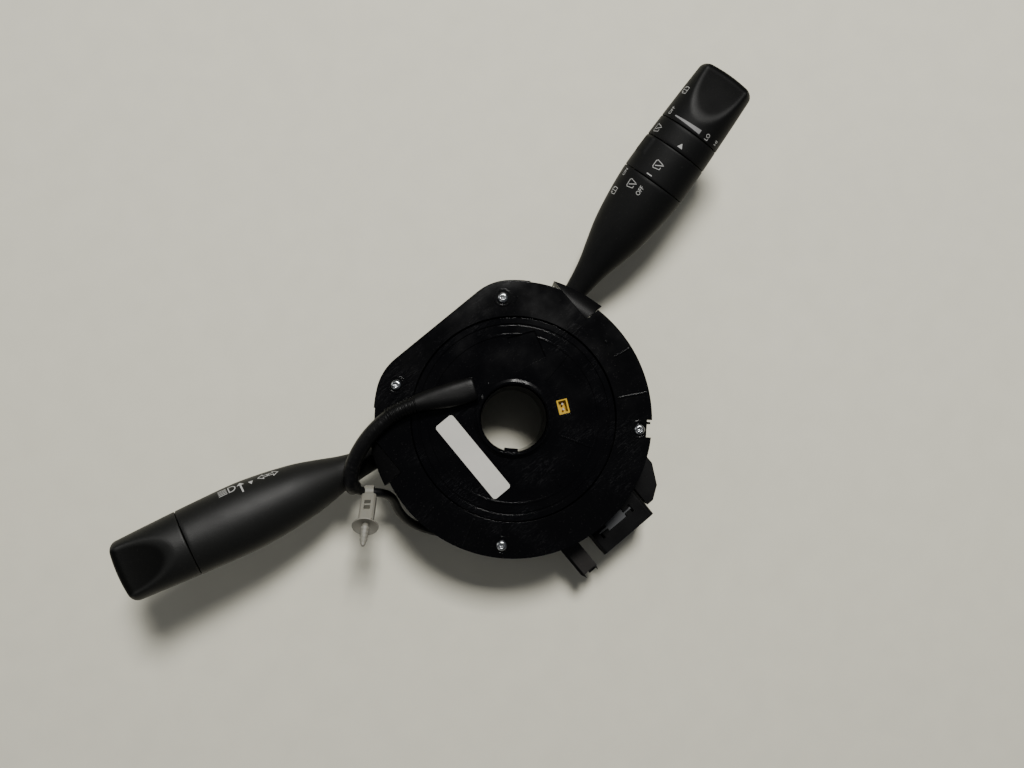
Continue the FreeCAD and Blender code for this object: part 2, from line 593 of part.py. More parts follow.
azimuth, rise = dim("lever_azimuth"), dim("lever_rise")
rise_r = math.radians(rise)
tilt_x = (dim("tilt_height") - dim("lever_z")) * math.sin(rise_r)
tilt_z = (dim("tilt_height") - dim("lever_z")) * math.cos(rise_r)
length, flat = dim("lever_length"), dim("lever_flatness")
gap = dim("seam_gap")
WIDTHS = ((dim("lever_root"), 10.4), (30.0, 12.8), (40.0, 16.4), (50.0, 21.9), (60.0, 26.9),
          (70.0, 30.1), (80.0, 32.3), (90.0, 33.5), (107.0, 32.8), (128.5, 31.0),
          (length - 3.4, 29.0), (length - 1.2, 27.0), (length, 22.4))
HOLLOW_WIDTHS = ((38.0, 15.6), (50.0, 21.9), (60.0, 26.9), (70.0, 30.1), (90.0, 33.5),
                 (length - 10, 29.6))


def lever_place(side):
    heading = azimuth if side > 0 else 180 - azimuth
    turn = FreeCAD.Rotation(V(0, 0, 1), heading).multiply(FreeCAD.Rotation(V(0, 1, 0), -rise))
    return FreeCAD.Placement(V(side * dim("lever_x"), dim("lever_y"), dim("lever_z")), turn)


def flat_place(side):
    heading = azimuth if side > 0 else 180 - azimuth
    turn = FreeCAD.Rotation(V(0, 0, 1), heading)
    return FreeCAD.Placement(V(side * dim("lever_x"), dim("lever_y"), 0), turn)


def along(radius, x0, x1):
    return Part.makeCylinder(radius, x1 - x0, V(x0, 0, 0), V(1, 0, 0))


SKIN_SIDES = 36
SCOOP_RADIUS, SCOOP_FLOOR = 80.0, 6.2


def skin(widths, inset):
    """One of the lever's forms as a loft through flattened sections of many short sides."""
    wires = []
    for x, width in widths:
        major, minor = width / 2 - inset, width * flat / 2 - inset
        angles = [2 * math.pi * i / SKIN_SIDES for i in range(SKIN_SIDES)]
        corners = [V(x, major * math.sin(a), minor * math.cos(a)) for a in angles]
        wires.append(Part.makePolygon(corners + corners[:1]))
    return Part.makeLoft(wires, True, True)


lever_form = skin(WIDTHS, 0)
inner_form = skin(HOLLOW_WIDTHS, 2.2)


def slice_of(form, x0, x1):
    return form.common(box(x0, x1, -30, 30, -30, 30))


def scooped(shape):
    """Takes the thumb recess out of the driver's side of an end cap, deepest at the tip."""
    cutter = Part.makeCylinder(SCOOP_RADIUS, 60, V(length + 3, -30, SCOOP_FLOOR + SCOOP_RADIUS), V(0, 1, 0))
    return shape.cut(cutter)


knob_body = scooped(slice_of(lever_form, dim("seam_knob"), length + 5))
for side_name, side in SIDES:
    place = lever_place(side)
    tongue = Part.makeCylinder(3.8, 7.6, V(tilt_x, -3.8, tilt_z), V(0, 1, 0))
    bridge = box(0.5, 9.0, -3.0, 3.0, -2.0, 4.4)
    reach = dim("seam_knob") + 12 if side < 0 else length - 12
    arm = fuse(tongue, bridge, along(dim("rod_radius"), 6.5, dim("rod_end")))
    arm = fuse(arm, along(dim("core_tube"), dim("rod_end") - 2.0, reach))
    arm = arm.cut(Part.makeCylinder(dim("cross_pin_radius") + 0.02, 20, V(tilt_x, -10, tilt_z),
                                    V(0, 1, 0)))
    node(f"{side_name}_arm", arm, place)
    outer = slice_of(lever_form, dim("lever_root"),
                     dim("seam_knob") - gap if side < 0 else dim("seam_ring") - gap)
    shell_end = dim("seam_knob") - 5 if side < 0 else dim("seam_ring") - 5
    outer = outer.cut(slice_of(inner_form, 38, shell_end)).cut(along(dim("rod_radius") + 0.05, 0, dim("rod_end")))
    outer = outer.cut(along(dim("core_tube") + 0.05, dim("rod_end") - 2.5, length))
    node("left_stalk_shell" if side < 0 else "right_stalk_base", outer, place)
    if side < 0:
        node("left_stalk_cap", knob_body.cut(along(dim("core_tube") + 0.05, dim("seam_ring"), reach + 0.3)), place)
    else:
        hollow_core = along(dim("core_tube") + 0.06, dim("rod_end"), length)
        ring_part = slice_of(lever_form, dim("seam_ring"), dim("seam_collar") - gap)
        nub = box(dim("seam_ring") + 0.6, dim("seam_collar") - 1.0, 14.6, 17.6, -2.6, 2.6)
        nub = nub.makeChamfer(0.7, nub.Edges)
        node("wiper_ring", fuse(ring_part, nub).cut(hollow_core), place)
        collar = slice_of(lever_form, dim("seam_collar"), dim("seam_knob") - gap)
        node("wiper_collar", collar.cut(along(dim("core_tube") + 0.02, dim("rod_end"), length)), place)
        knob_bore = along(dim("core_tube") + 0.06, dim("seam_ring"), reach + 0.4)
        node("wiper_knob", knob_body.cut(knob_bore), place)

    # yoke that swings on the upright pin and carries the lever on its cross pin
    back, z_tilt = -dim("swing_offset"), dim("tilt_height")
    hub_part = cyl(4.2, 17.6, 27.9, back, 0).cut(tube(6, 3.7, 25.2, 28, back, 0))
    yoke = fuse(hub_part, box(back, 4.4, 4.1, 6.2, 17.6, 24.0), box(back, 4.4, -6.2, -4.1, 17.6, 24.0),
                box(back - 1, back + 3.2, -6.2, 6.2, 17.6, 24.0),
                box(-1.0, 4.4, 4.1, 6.2, 23, 26.4), box(-1.0, 4.4, -6.2, -4.1, 23, 26.4))
    yoke = yoke.cut(cyl(dim("pin_radius") + 0.05, 10, 30, back, 0))
    cross_hole = Part.makeCylinder(dim("cross_pin_radius") + 0.02, 20, V(0, -10, z_tilt), V(0, 1, 0))
    yoke = yoke.cut(cross_hole)
    node(f"{side_name}_holder", yoke, flat_place(side))
    node(f"{side_name}_cross_pin",
         Part.makeCylinder(dim("cross_pin_radius"), 12.4, V(0, -6.2, z_tilt), V(0, 1, 0)), flat_place(side))
    node(f"{side_name}_pivot_pin", cyl(dim("pin_radius"), 15.85, 29.6, back, 0), flat_place(side))
    band_spring = tube(4.2, 3.78, 25.4, 27.6, back, 0)
    band_spring = band_spring.cut(box(back - 8, back, -1.4, 1.4, 25, 28))
    node(f"{side_name}_return_spring", band_spring, flat_place(side))

    # switch case that slides into the carrier's bay
    case = box(side * 28.4, side * 62.6, 6.3, 43.7, floor + 0.1, 29.7)
    case = case.common(cyl(65.6, floor, 30))
    case = case.cut(box(side * 29.9, side * 61.0, 7.8, 42.2, floor + 1.6, 28.2))
    case = case.cut(box(side * 52, side * 70, 14.5, 40.0, floor + 3.0, 31.0))
    pin_x = side * (dim("lever_x") - dim("swing_offset") * math.cos(math.radians(azimuth)))
    pin_y = dim("lever_y") - dim("swing_offset") * math.sin(math.radians(azimuth))
    case = case.cut(cyl(dim("pin_radius") + 0.02, floor - 1, 31, pin_x, pin_y))
    node(f"{side_name}_switch_case", case)

    # domed hood over the lever root: a bent visor on two cheeks
    arc_x, arc_z = 12.6, 33.6
    dome = Part.makeCylinder(14.6, 60, V(arc_x, -30, arc_z), V(0, 1, 0))
    dome = dome.cut(Part.makeCylinder(12.8, 60, V(arc_x, -30, arc_z), V(0, 1, 0)))
    dome = dome.common(box(0, 60, -30, 30, 34.4, 60))
    dome.Placement = flat_place(side)
    plan = hood_gap(side, -0.25).common(cyl(69.8, 20, 60))
    hood = dome.common(plan)
    fill = Part.makeCylinder(14.6, 60, V(arc_x, -30, arc_z), V(0, 1, 0)).fuse(
        box(0, arc_x + 14.6, -30, 30, 20, arc_z))
    fill.Placement = flat_place(side)
    cheeks = box(side * 57.9, side * 70, 14.7, 16.3, 30.1, 48).fuse(
        box(side * 57.9, side * 61.2, 38.5, 40.0, 30.1, 48))
    cheeks = cheeks.fuse(box(side * 57.9, side * 59.2, 14.7, 40.0, 36.5, 48)).common(fill).common(plan)
    node(f"{side_name}_root_hood", hood.multiFuse([cheeks]).removeSplitter())

# Label, socket and pins on the rotor face

label = new_body("label_plate")
sk = sketch_on(label, "label_outline", "dims.disc_top + 0.01")
rectangle_in(sk, -26.9 - dim("label_width") / 2, -26.9 + dim("label_width") / 2,
             -1.7 - dim("label_height") / 2, -1.7 + dim("label_height") / 2)
label_pad = pad(label, "label_pad", sk, "dims.label_gauge")
doc.recompute()
rounding = label.newObject("PartDesign::Fillet", "label_corners")
rounding.Base = (label_pad, [f"Edge{i + 1}" for i, e in enumerate(label_pad.Shape.Edges)
                             if abs(e.Vertexes[0].Z - e.Vertexes[-1].Z) > 0.1])
rounding.Radius = 1.5
label.Tip = rounding

socket_place = FreeCAD.Placement(V(0, 0, 0), FreeCAD.Rotation(V(0, 0, 1), -26))
circle_r = dim("socket_circle")
socket = box(circle_r - radial / 2, circle_r + radial / 2, -tangential / 2, tangential / 2, 37.45, 46.9)
socket = socket.cut(box(circle_r - radial / 2 + 0.8, circle_r + radial / 2 - 0.8,
                        -tangential / 2 + 0.8, tangential / 2 - 0.8, 43.4, 48))
pin_pair = []
for y in (-1.3, 1.3):
    socket = socket.cut(cyl(0.52, 37, 44, circle_r, y))
    pin_pair.append(cyl(0.5, 37.5, 45.8, circle_r, y))
node("airbag_socket", socket, socket_place)
node("socket_pins", Part.makeCompound(pin_pair), socket_place)

# Lead: moulded boot, wrapped sleeve, thin cable, nylon clip and plug

BOOT = ((-5.0, 22.8, 51.8), (-14.3, 26.9, 51.9), (-24.2, 31.8, 52.6), (-31.8, 35.1, 53.2))
SLEEVE = (BOOT[-1], (-38.5, 37.5, 53.5), (-45.0, 38.4, 53.5), (-57.9, 37.6, 52.8),
          (-69.0, 34.2, 50.4), (-75.4, 30.6, 48.6), (-79.4, 27.0, 46.9), (-80.1, 24.7, 43.4))
CABLE = (SLEEVE[-1], (-81.3, 20.9, 37.6), (-72.4, 13.7, 37.6), (-70.6, 8.6, 30.0),
         (-74.0, 1.6, 22.5), (-74.6, -5.8, 15.5), (-71.5, -14.3, 9.0), (-66.0, -22.5, 4.6),
         (-57.4, -32.7, 4.6))
CLIP_STEM = (-0.452, -0.544, 0.707)
PLUG_TURN = -50.0


def lead_path(points):
    """Straight runs joined by tangent arcs, each as large as its two runs allow."""
    corners = [V(*p) for p in points]
    edges, radii, at = [], [], corners[0]
    for before, corner, after in zip(corners, corners[1:], corners[2:]):
        trim = 0.45 * min(corner.distanceToPoint(before), corner.distanceToPoint(after))
        back, ahead = (before - corner).normalize(), (after - corner).normalize()
        half_turn = (math.pi - back.getAngle(ahead)) / 2
        radius = trim / math.tan(half_turn)
        inwards = (back + ahead).normalize()
        start, end = corner + back * trim, corner + ahead * trim
        middle = corner + inwards * (radius / math.cos(half_turn) - radius)
        edges.append(Part.makeLine(at, start))
        edges.append(Part.Arc(start, middle, end).toShape())
        radii.append(round(radius, 1))
        at = end
    edges.append(Part.makeLine(at, corners[-1]))
    return Part.Wire(edges), radii


def lead_tube(label, points, radius):
    path, radii = lead_path(points)
    along_path = (V(*points[1]) - V(*points[0])).normalize()
    profile = Part.Wire([Part.Circle(V(*points[0]), along_path, radius).toShape()])
    solid = path.makePipeShell([profile], True, True)
    expected = math.pi * radius ** 2 * path.Length
    print(label, "length", round(path.Length, 1), "radii", radii,
          "volume share", round(solid.Volume / expected, 4))
    return node(label, solid)


def boot_section(centre, tangent, width, height):
    """A rectangle with fully rounded sides, square to the lead."""
    across = V(0, 0, 1).cross(tangent).normalize()
    up = tangent.cross(across).normalize()
    half, r = width / 2 - height * 0.45, height * 0.45
    rise = height / 2 - r

    def at(u, v):
        return centre + across * u + up * v

    edges = []
    for sx, sy in ((1, 1), (-1, 1), (-1, -1), (1, -1)):
        lean = math.sqrt(0.5) * r
        first, second = at(sx * (half + r), sy * rise), at(sx * half, sy * (rise + r))
        if sx * sy < 0:
            first, second = second, first
        edges.append(Part.Arc(first, at(sx * (half + lean), sy * (rise + lean)), second).toShape())
    corners = []
    for i, edge in enumerate(edges):
        nxt = edges[(i + 1) % 4]
        corners += [edge, Part.makeLine(edge.valueAt(edge.LastParameter), nxt.valueAt(nxt.FirstParameter))]
    return Part.Wire(corners)


boot_points = [V(*p) for p in BOOT + SLEEVE[1:2]]
boot_sizes = ((12.0, 6.6), (12.0, 7.2), (10.2, 7.8), (8.6, 8.4))
boot_wires = [boot_section(boot_points[i], (boot_points[i + 1] - boot_points[max(i - 1, 0)]).normalize()
                           if i < 3 else (boot_points[4] - boot_points[3]).normalize(), *size)
              for i, size in enumerate(boot_sizes)]
node("lead_boot", Part.makeLoft(boot_wires, True, True))
lead_tube("lead_sleeve", SLEEVE, dim("sleeve_radius"))
lead_tube("lead_cable", CABLE, dim("cable_radius"))

clip_start, clip_end = V(*CABLE[1]), V(*CABLE[2])
clip_centre = (clip_start + clip_end) * 0.5
run = (clip_end - clip_start).normalize()
stem = V(*CLIP_STEM)
stem = (stem - run * stem.dot(run)).normalize()
strap_bore = dim("cable_radius") + 0.2
strap = tube(strap_bore + 0.95, strap_bore, -2.3, 2.3)
head = box(2.9, 18.4, -2.4, 2.4, -3.6, 3.6)
head = head.makeChamfer(0.8, [e for e in head.Edges if abs(e.BoundBox.XLength) > 5])
head = head.cut(box(7.0, 12.6, -3, 3, -1.5, 1.5)).fuse(box(9.2, 10.2, -2.4, 2.4, -2, 2))
fins = [(2.6, 18.0), (3.2, 19.0), (6.4, 21.2), (6.2, 21.7), (1.5, 20.2)]
for i in range(4):
    fins += [(1.5, 22.4 + 2.2 * i), (2.3 - 0.15 * i, 22.4 + 2.2 * i), (1.4, 24.0 + 2.2 * i)]
tree = turned_part([(0, 18.0)] + fins + [(1.3, 31.4), (0.6, 32.6), (0, 32.6)], 18)
tree.rotate(V(0, 0, 0), V(0, 1, 0), 90)
clip = fuse(strap, head, tree).cut(cyl(strap_bore, -5, 5))
side_axis = run.cross(stem)
matrix = FreeCAD.Matrix(stem.x, side_axis.x, run.x, clip_centre.x,
                        stem.y, side_axis.y, run.y, clip_centre.y,
                        stem.z, side_axis.z, run.z, clip_centre.z, 0, 0, 0, 1)
node("cable_clip", clip, FreeCAD.Placement(matrix))

plug = box(0, 20, -5.5, 5.5, -4.4, 4.4)
plug = plug.makeFillet(0.8, [e for e in plug.Edges if abs(e.BoundBox.XLength) > 5])
plug = plug.cut(box(8, 21, -4.2, 4.2, -3.2, 3.2)).fuse(box(2.5, 12, -1.6, 1.6, 4.0, 5.4))
for z in (-1.0, 1.0):
    plug = plug.fuse(box(7.9, 16, -3.0, 3.0, z - 0.35, z + 0.35))
plug_place = FreeCAD.Placement(V(*CABLE[-1]), FreeCAD.Rotation(V(0, 0, 1), PLUG_TURN))
node("lead_plug", plug.removeSplitter(), plug_place)

doc.recompute()
os.makedirs("parts", exist_ok=True)
for obj in doc.Objects:
    if {"Invalid", "Error"} & set(obj.State):
        raise RuntimeError(f"{obj.Label} did not build: {obj.State}")
faulty = [obj.Label for obj in NODES if obj.Shape.isNull() or not obj.Shape.isValid()
          or not obj.Shape.Solids]
if faulty:
    raise RuntimeError("no valid solid: " + ", ".join(faulty))
for obj in NODES:
    obj.Shape.exportStep(f"parts/{obj.Label}.step")
print(len(NODES), "nodes written")
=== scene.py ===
# %% [markdown]
# # An airbag clock spring on its column switch carrier
# A clock spring sits behind a steering wheel. A flat ribbon wound in a spiral carries current to
# the airbag while the wheel turns, and the carrier behind it holds the two switch levers. The CAD
# model already has every piece at its real size, so this scene only dresses it: the lever skins,
# the lead, the printed marks and the finish of each surface. Everything is in metres, in the
# frame of the CAD: +Z runs up the steering axis to the driver, and +Y is twelve o'clock.
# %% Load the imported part
import json
import math

import bmesh
import bpy
from mathutils import Matrix, Vector


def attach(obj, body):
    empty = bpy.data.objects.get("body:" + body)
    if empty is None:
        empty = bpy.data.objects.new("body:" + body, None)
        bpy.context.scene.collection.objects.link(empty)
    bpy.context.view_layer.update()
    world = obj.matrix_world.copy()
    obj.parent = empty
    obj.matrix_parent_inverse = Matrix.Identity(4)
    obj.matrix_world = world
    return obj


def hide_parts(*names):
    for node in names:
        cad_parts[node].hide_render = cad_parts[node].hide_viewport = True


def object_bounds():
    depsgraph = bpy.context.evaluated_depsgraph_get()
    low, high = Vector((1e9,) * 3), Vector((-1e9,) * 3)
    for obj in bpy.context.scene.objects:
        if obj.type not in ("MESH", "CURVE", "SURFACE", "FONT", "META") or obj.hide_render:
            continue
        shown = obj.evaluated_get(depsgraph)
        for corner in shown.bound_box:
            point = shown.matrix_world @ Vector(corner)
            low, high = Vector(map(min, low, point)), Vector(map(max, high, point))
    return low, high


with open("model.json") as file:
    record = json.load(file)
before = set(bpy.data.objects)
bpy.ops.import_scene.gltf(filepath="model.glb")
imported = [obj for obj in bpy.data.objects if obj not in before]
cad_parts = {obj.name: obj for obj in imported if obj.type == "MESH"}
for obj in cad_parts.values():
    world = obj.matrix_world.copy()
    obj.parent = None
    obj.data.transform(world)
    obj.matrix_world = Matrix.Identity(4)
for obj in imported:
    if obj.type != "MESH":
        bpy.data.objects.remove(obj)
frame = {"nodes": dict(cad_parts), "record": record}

MM = 0.001
cad_low, cad_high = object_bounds()
print("CAD nodes:", len(frame["nodes"]), "box in mm:", [round(v / MM, 1) for v in (cad_high - cad_low)])

# %% [markdown]
# ## Camera
# The photograph looks almost straight down the steering axis, with the part turned about 40
# degrees in the picture. A camera could be aimed by eye, but a few landmarks of known size, such
# as the screws and the lever tips, fix it much better: its focal length in pixels, three small
# turns and a distance. Those values are turned here into a lens and a matrix.
# %% Place the camera
IMAGE_WIDTH_PX = 1024
FOCAL_PX = 833
SENSOR_MM = 36
NEAR_CLIP = 0.01
CAMERA_TURNS = {"X": -3.58, "Y": 1.56, "Z": 39.7}
CAMERA_SHIFT = Vector((0.9, -16.5, -399.9)) * MM
FACE_HEIGHT = 49.0 * MM

to_camera = Matrix.Identity(4)
for turn_axis, degrees in CAMERA_TURNS.items():
    to_camera = to_camera @ Matrix.Rotation(math.radians(degrees), 4, turn_axis)
camera_data = bpy.data.cameras.new("camera")
camera_data.lens = SENSOR_MM * FOCAL_PX / IMAGE_WIDTH_PX
camera_data.clip_start = NEAR_CLIP
camera = bpy.data.objects.new("camera", camera_data)
bpy.context.scene.collection.objects.link(camera)
camera.matrix_world = (Matrix.Translation((0, 0, FACE_HEIGHT)) @ to_camera.inverted()
                       @ Matrix.Translation(-CAMERA_SHIFT))
bpy.context.scene.camera = camera
print("lens", round(camera_data.lens, 2), "mm, camera", round(camera.matrix_world.translation.z, 3), "m up")

# %% [markdown]
# ## Small helpers
# Each finished piece is a mesh whose place is in its vertices, with its object at the origin, as
# the CAD nodes are. One helper makes such an object and another joins rings of points into its
# skin. A third turns a curve, a text or the result of a modifier into a plain mesh, and a fourth
# says how the piece belongs to the frame.
# %% Helpers for pieces
def link(obj):
    bpy.context.scene.collection.objects.link(obj)
    return obj


def mesh_object(name, bm, smooth=True):
    """An object at the origin made of the bmesh, with outward faces."""
    bmesh.ops.recalc_face_normals(bm, faces=bm.faces)
    mesh = bpy.data.meshes.new(name)
    bm.to_mesh(mesh)
    bm.free()
    if smooth:
        mesh.shade_smooth()
    return link(bpy.data.objects.new(name, mesh))


def stitch(bm, rings):
    """A band of faces between each two neighbouring rings of vertices."""
    for low_ring, high_ring in zip(rings, rings[1:]):
        for k in range(len(low_ring)):
            n = (k + 1) % len(low_ring)
            bm.faces.new((low_ring[k], low_ring[n], high_ring[n], high_ring[k]))


def plain_mesh(source, name):
    """What the modifiers, curve or text of an object make, as a mesh of its own."""
    evaluated = source.evaluated_get(bpy.context.evaluated_depsgraph_get())
    mesh = bpy.data.meshes.new_from_object(evaluated)
    mesh.name = name
    return mesh


def dress(obj, body, finish, slot, *stands_for):
    """Gives a piece its finish and its body, and hides the CAD nodes it stands for; the slot is not used.
    """
    obj.data.materials.clear()
    obj.data.materials.append(finish)
    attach(obj, body)
    if stands_for:
        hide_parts(*stands_for)
    return obj


print("helpers ready")

# %% [markdown]
# ## The lead's route
# The airbag lead leaves the rotor in a moulded boot, runs over the plate's edge in a thick
# sleeve, turns down and goes on as a thin cable to its plug. A cable could be a row of straight
# tubes, but it bends smoothly, so each part is a NURBS spline whose control points are the
# corners of the route. The sleeve ends partway along a run, so the two splines meet in line.
# %% Route points in metres
BOOT_ROUTE = ((-0.0050, 0.0228, 0.0518), (-0.0143, 0.0269, 0.0519), (-0.0242, 0.0318, 0.0526),
              (-0.0318, 0.0351, 0.0532))
SLEEVE_ROUTE = ((-0.0318, 0.0351, 0.0532), (-0.0385, 0.0375, 0.0535), (-0.0450, 0.0384, 0.0535),
                (-0.0579, 0.0376, 0.0528), (-0.0690, 0.0342, 0.0504), (-0.0754, 0.0304, 0.0493),
                (-0.0801, 0.0258, 0.0481), (-0.0802, 0.0236, 0.0444))
CABLE_ROUTE = ((-0.0802, 0.0236, 0.0444), (-0.0802, 0.0202, 0.0388), (-0.0735, 0.0144, 0.0364),
               (-0.0706, 0.0086, 0.0300), (-0.0740, 0.0016, 0.0225), (-0.0746, -0.0058, 0.0155),
               (-0.0715, -0.0143, 0.0090), (-0.0660, -0.0225, 0.0046), (-0.0574, -0.0327, 0.0046))
SLEEVE_RADIUS = 3.8 * MM
CABLE_RADIUS = 2.2 * MM
CORD_ORDER, CORD_STEPS, CORD_ROUNDNESS = 3, 12, 6


def route_curve(name, points, radius=0.0):
    """A smooth cord: a NURBS spline with the route's points as its control points."""
    data = bpy.data.curves.new(name, "CURVE")
    data.dimensions = "3D"
    spline = data.splines.new("NURBS")
    spline.points.add(len(points) - 1)
    for control, place in zip(spline.points, points):
        control.co = (*place, 1.0)
    spline.order_u = CORD_ORDER
    spline.use_endpoint_u = True
    spline.resolution_u = CORD_STEPS
    data.bevel_depth = radius
    data.bevel_resolution = CORD_ROUNDNESS
    data.use_fill_caps = True
    return link(bpy.data.objects.new(name, data))


def curve_length(name, points):
    """Length of the bare spline through the route, read from its evaluated line."""
    bare = route_curve(name + "_measure", points)
    line = plain_mesh(bare, name + "_line")
    places = [v.co.copy() for v in line.vertices]
    bpy.data.objects.remove(bare)
    return sum((b - a).length for a, b in zip(places, places[1:]))


sleeve_length = curve_length("sleeve", SLEEVE_ROUTE)
cable_length = curve_length("cable", CABLE_ROUTE)
lead_sleeve = route_curve("airbag_lead_sleeve", SLEEVE_ROUTE, SLEEVE_RADIUS)
lead_cable = route_curve("airbag_lead_cable", CABLE_ROUTE, CABLE_RADIUS)
print("sleeve", round(sleeve_length, 4), "m, cable", round(cable_length, 4), "m")

# %% [markdown]
# ## Floor and light
# The part lies on a plain pale surface. The photograph has one broad soft light, high over the
# part and towards the top of the picture, so shadows fall downwards in it, and the room gives a
# weak fill. A strong world light would also work, but the glossy black faces look straight at the
# camera and would mirror it grey, so the world stays dim and large area lights do the work.
# %% Floor, lights and world
FLOOR_DROP, FLOOR_HALF = 0.3 * MM, 3.0
LIGHT_TINT = (1.0, 0.985, 0.95)
WORLD_TINT, WORLD_STRENGTH = (0.86, 0.9, 1.0, 1), 0.08
# Direction to the picture's right and to its top, elevation, distance and size in metres, watts
LIGHTS = {"window_light": (0.22, 1.0, 62, 1.6, 0.36, 32),
          "room_fill": (-0.8, -1.0, 34, 1.8, 1.0, 1.6),
          "side_fill": (-1.0, 0.3, 28, 1.6, 0.8, 2.5)}
picture_up = (to_camera.inverted().to_3x3() @ Vector((0, 1, 0))).normalized()
picture_right = (to_camera.inverted().to_3x3() @ Vector((1, 0, 0))).normalized()

floor_bm = bmesh.new()
bmesh.ops.create_grid(floor_bm, x_segments=1, y_segments=1, size=FLOOR_HALF)
floor = mesh_object("floor", floor_bm, smooth=False)
floor.location.z = cad_low.z - FLOOR_DROP


def soft_light(name, right, top, elevation, distance, size, watts):
    """A square area light that looks at the part from a direction in the picture."""
    lamp = bpy.data.lights.new(name, "AREA")
    lamp.shape = "SQUARE"
    lamp.size = size
    lamp.energy = watts
    lamp.color = LIGHT_TINT
    obj = link(bpy.data.objects.new(name, lamp))
    towards = picture_right * right + picture_up * top
    flat = Vector((towards.x, towards.y, 0)).normalized()
    lift = math.radians(elevation)
    obj.location = (flat * math.cos(lift) + Vector((0, 0, 1)) * math.sin(lift)) * distance
    obj.rotation_euler = (-obj.location).to_track_quat("-Z", "Y").to_euler()


for light_name, light_values in LIGHTS.items():
    soft_light(light_name, *light_values)
world = bpy.data.worlds.new("room")
bpy.context.scene.world = world
world.use_nodes = True
background = world.node_tree.nodes["Background"]
background.inputs["Color"].default_value = WORLD_TINT
background.inputs["Strength"].default_value = WORLD_STRENGTH

# %% [markdown]
# ## Shader node groups
# Moulded plastic is never one even colour: the tool leaves a fine grain, handling leaves broad
# dull patches, and dust settles in it. The same three effects are on nearly every part here, so
# they are built once as a node group that gives a colour, a roughness and a height for the bump,
# and every material then sets its own amounts.
# %% Helpers for node groups
FLOAT, COLOR = "NodeSocketFloat", "NodeSocketColor"
WHOLE, PAINT = "NodeSocketInt", "NodeSocketMaterial"


def new_group(name, inputs, outputs):
    """A shader node group with named sockets, and its input and output nodes."""
    group = bpy.data.node_groups.new(name, "ShaderNodeTree")
    for title, kind, value in inputs:
        socket = group.interface.new_socket(title, in_out="INPUT", socket_type=kind)
        socket.default_value = value
    for title, kind in outputs:
        group.interface.new_socket(title, in_out="OUTPUT", socket_type=kind)
    return group, group.nodes.new("NodeGroupInput"), group.nodes.new("NodeGroupOutput")


def add(tree, kind, wires=None, **values):
    """A node with its settings, its constant inputs and its incoming wires."""
    node = tree.nodes.new(kind)
    for key, value in values.items():
        setattr(node, key, value)
    for key, value in (wires or {}).items():
        if isinstance(value, bpy.types.NodeSocket):
            tree.links.new(value, node.inputs[key])
        else:
            node.inputs[key].default_value = value
    return node


def calc(tree, operation, *values):
    """The result of a Math node on sockets or numbers."""
    return add(tree, "ShaderNodeMath", dict(enumerate(values)), operation=operation).outputs[0]


def map_range(tree, value, source, target=(0.0, 1.0)):
    """A value carried from its source range to a target range, and held inside it."""
    node = add(tree, "ShaderNodeMapRange", {"Value": value, "From Min": source[0], "From Max": source[1],
                                            "To Min": target[0], "To Max": target[1]})
    return node.outputs["Result"]


def noise(tree, place, scale, detail, **more):
    """A noise texture's value at a place, with further sockets by name."""
    node = add(tree, "ShaderNodeTexNoise", {"Vector": place, "Scale": scale, "Detail": detail, **more})
    return node.outputs["Fac"]


def mixed(tree, share, first, second):
    """Two colours mixed, the second one by the share."""
    return add(tree, "ShaderNodeMix", {0: share, 6: first, 7: second}, data_type="RGBA").outputs[2]


print("node helpers ready")

# %% [markdown]
# ### Moulded surface
# Spark-eroded grain is a field of tiny soft bumps about a third of a millimetre across. It could
# be a displaced mesh, but at this size a bump from noise is enough and costs nothing. A second,
# broad noise makes handled patches a little smoother and lighter, and a sparse fine noise adds
# specks of dust.
# %% Group: moulded surface
PATCH_SCALE, PATCH_RANGE, PATCH_TO_ROUGHNESS = 62.0, (0.3, 0.7), -0.6
SPECK_SCALE, SPECK_RANGE = 1500.0, (0.68, 0.8)

moulded, g_in, g_out = new_group(
    "moulded_surface",
    [("Tone", COLOR, (0.03, 0.03, 0.03, 1)), ("Dust tone", COLOR, (0.25, 0.24, 0.22, 1)),
     ("Roughness", FLOAT, 0.5), ("Grain size", FLOAT, 2600.0), ("Patchiness", FLOAT, 0.1),
     ("Dust", FLOAT, 0.1)],
    [("Color", COLOR), ("Roughness", FLOAT), ("Height", FLOAT)])
place = add(moulded, "ShaderNodeTexCoord").outputs["Object"]
grain = noise(moulded, place, g_in.outputs["Grain size"], detail=2.0, Roughness=0.55)
patches = noise(moulded, place, PATCH_SCALE, detail=4.0)
specks = noise(moulded, place, SPECK_SCALE, detail=1.0)
speck_amount = calc(moulded, "MULTIPLY", map_range(moulded, specks, SPECK_RANGE), g_in.outputs["Dust"])
patch_shift = map_range(moulded, patches, PATCH_RANGE, (-1.0, 1.0))
patch_amount = calc(moulded, "MULTIPLY", patch_shift, g_in.outputs["Patchiness"])
lightness = calc(moulded, "ADD", patch_amount, 1.0)
toned = add(moulded, "ShaderNodeHueSaturation", {"Color": g_in.outputs["Tone"], "Value": lightness})
dusted = mixed(moulded, speck_amount, toned.outputs["Color"], g_in.outputs["Dust tone"])
rough_shift = calc(moulded, "MULTIPLY", patch_amount, PATCH_TO_ROUGHNESS)
rough = calc(moulded, "ADD", g_in.outputs["Roughness"], rough_shift)
moulded.links.new(dusted, g_out.inputs["Color"])
moulded.links.new(rough, g_out.inputs["Roughness"])
moulded.links.new(grain, g_out.inputs["Height"])
print("group", moulded.name, "has", len(moulded.nodes), "nodes")

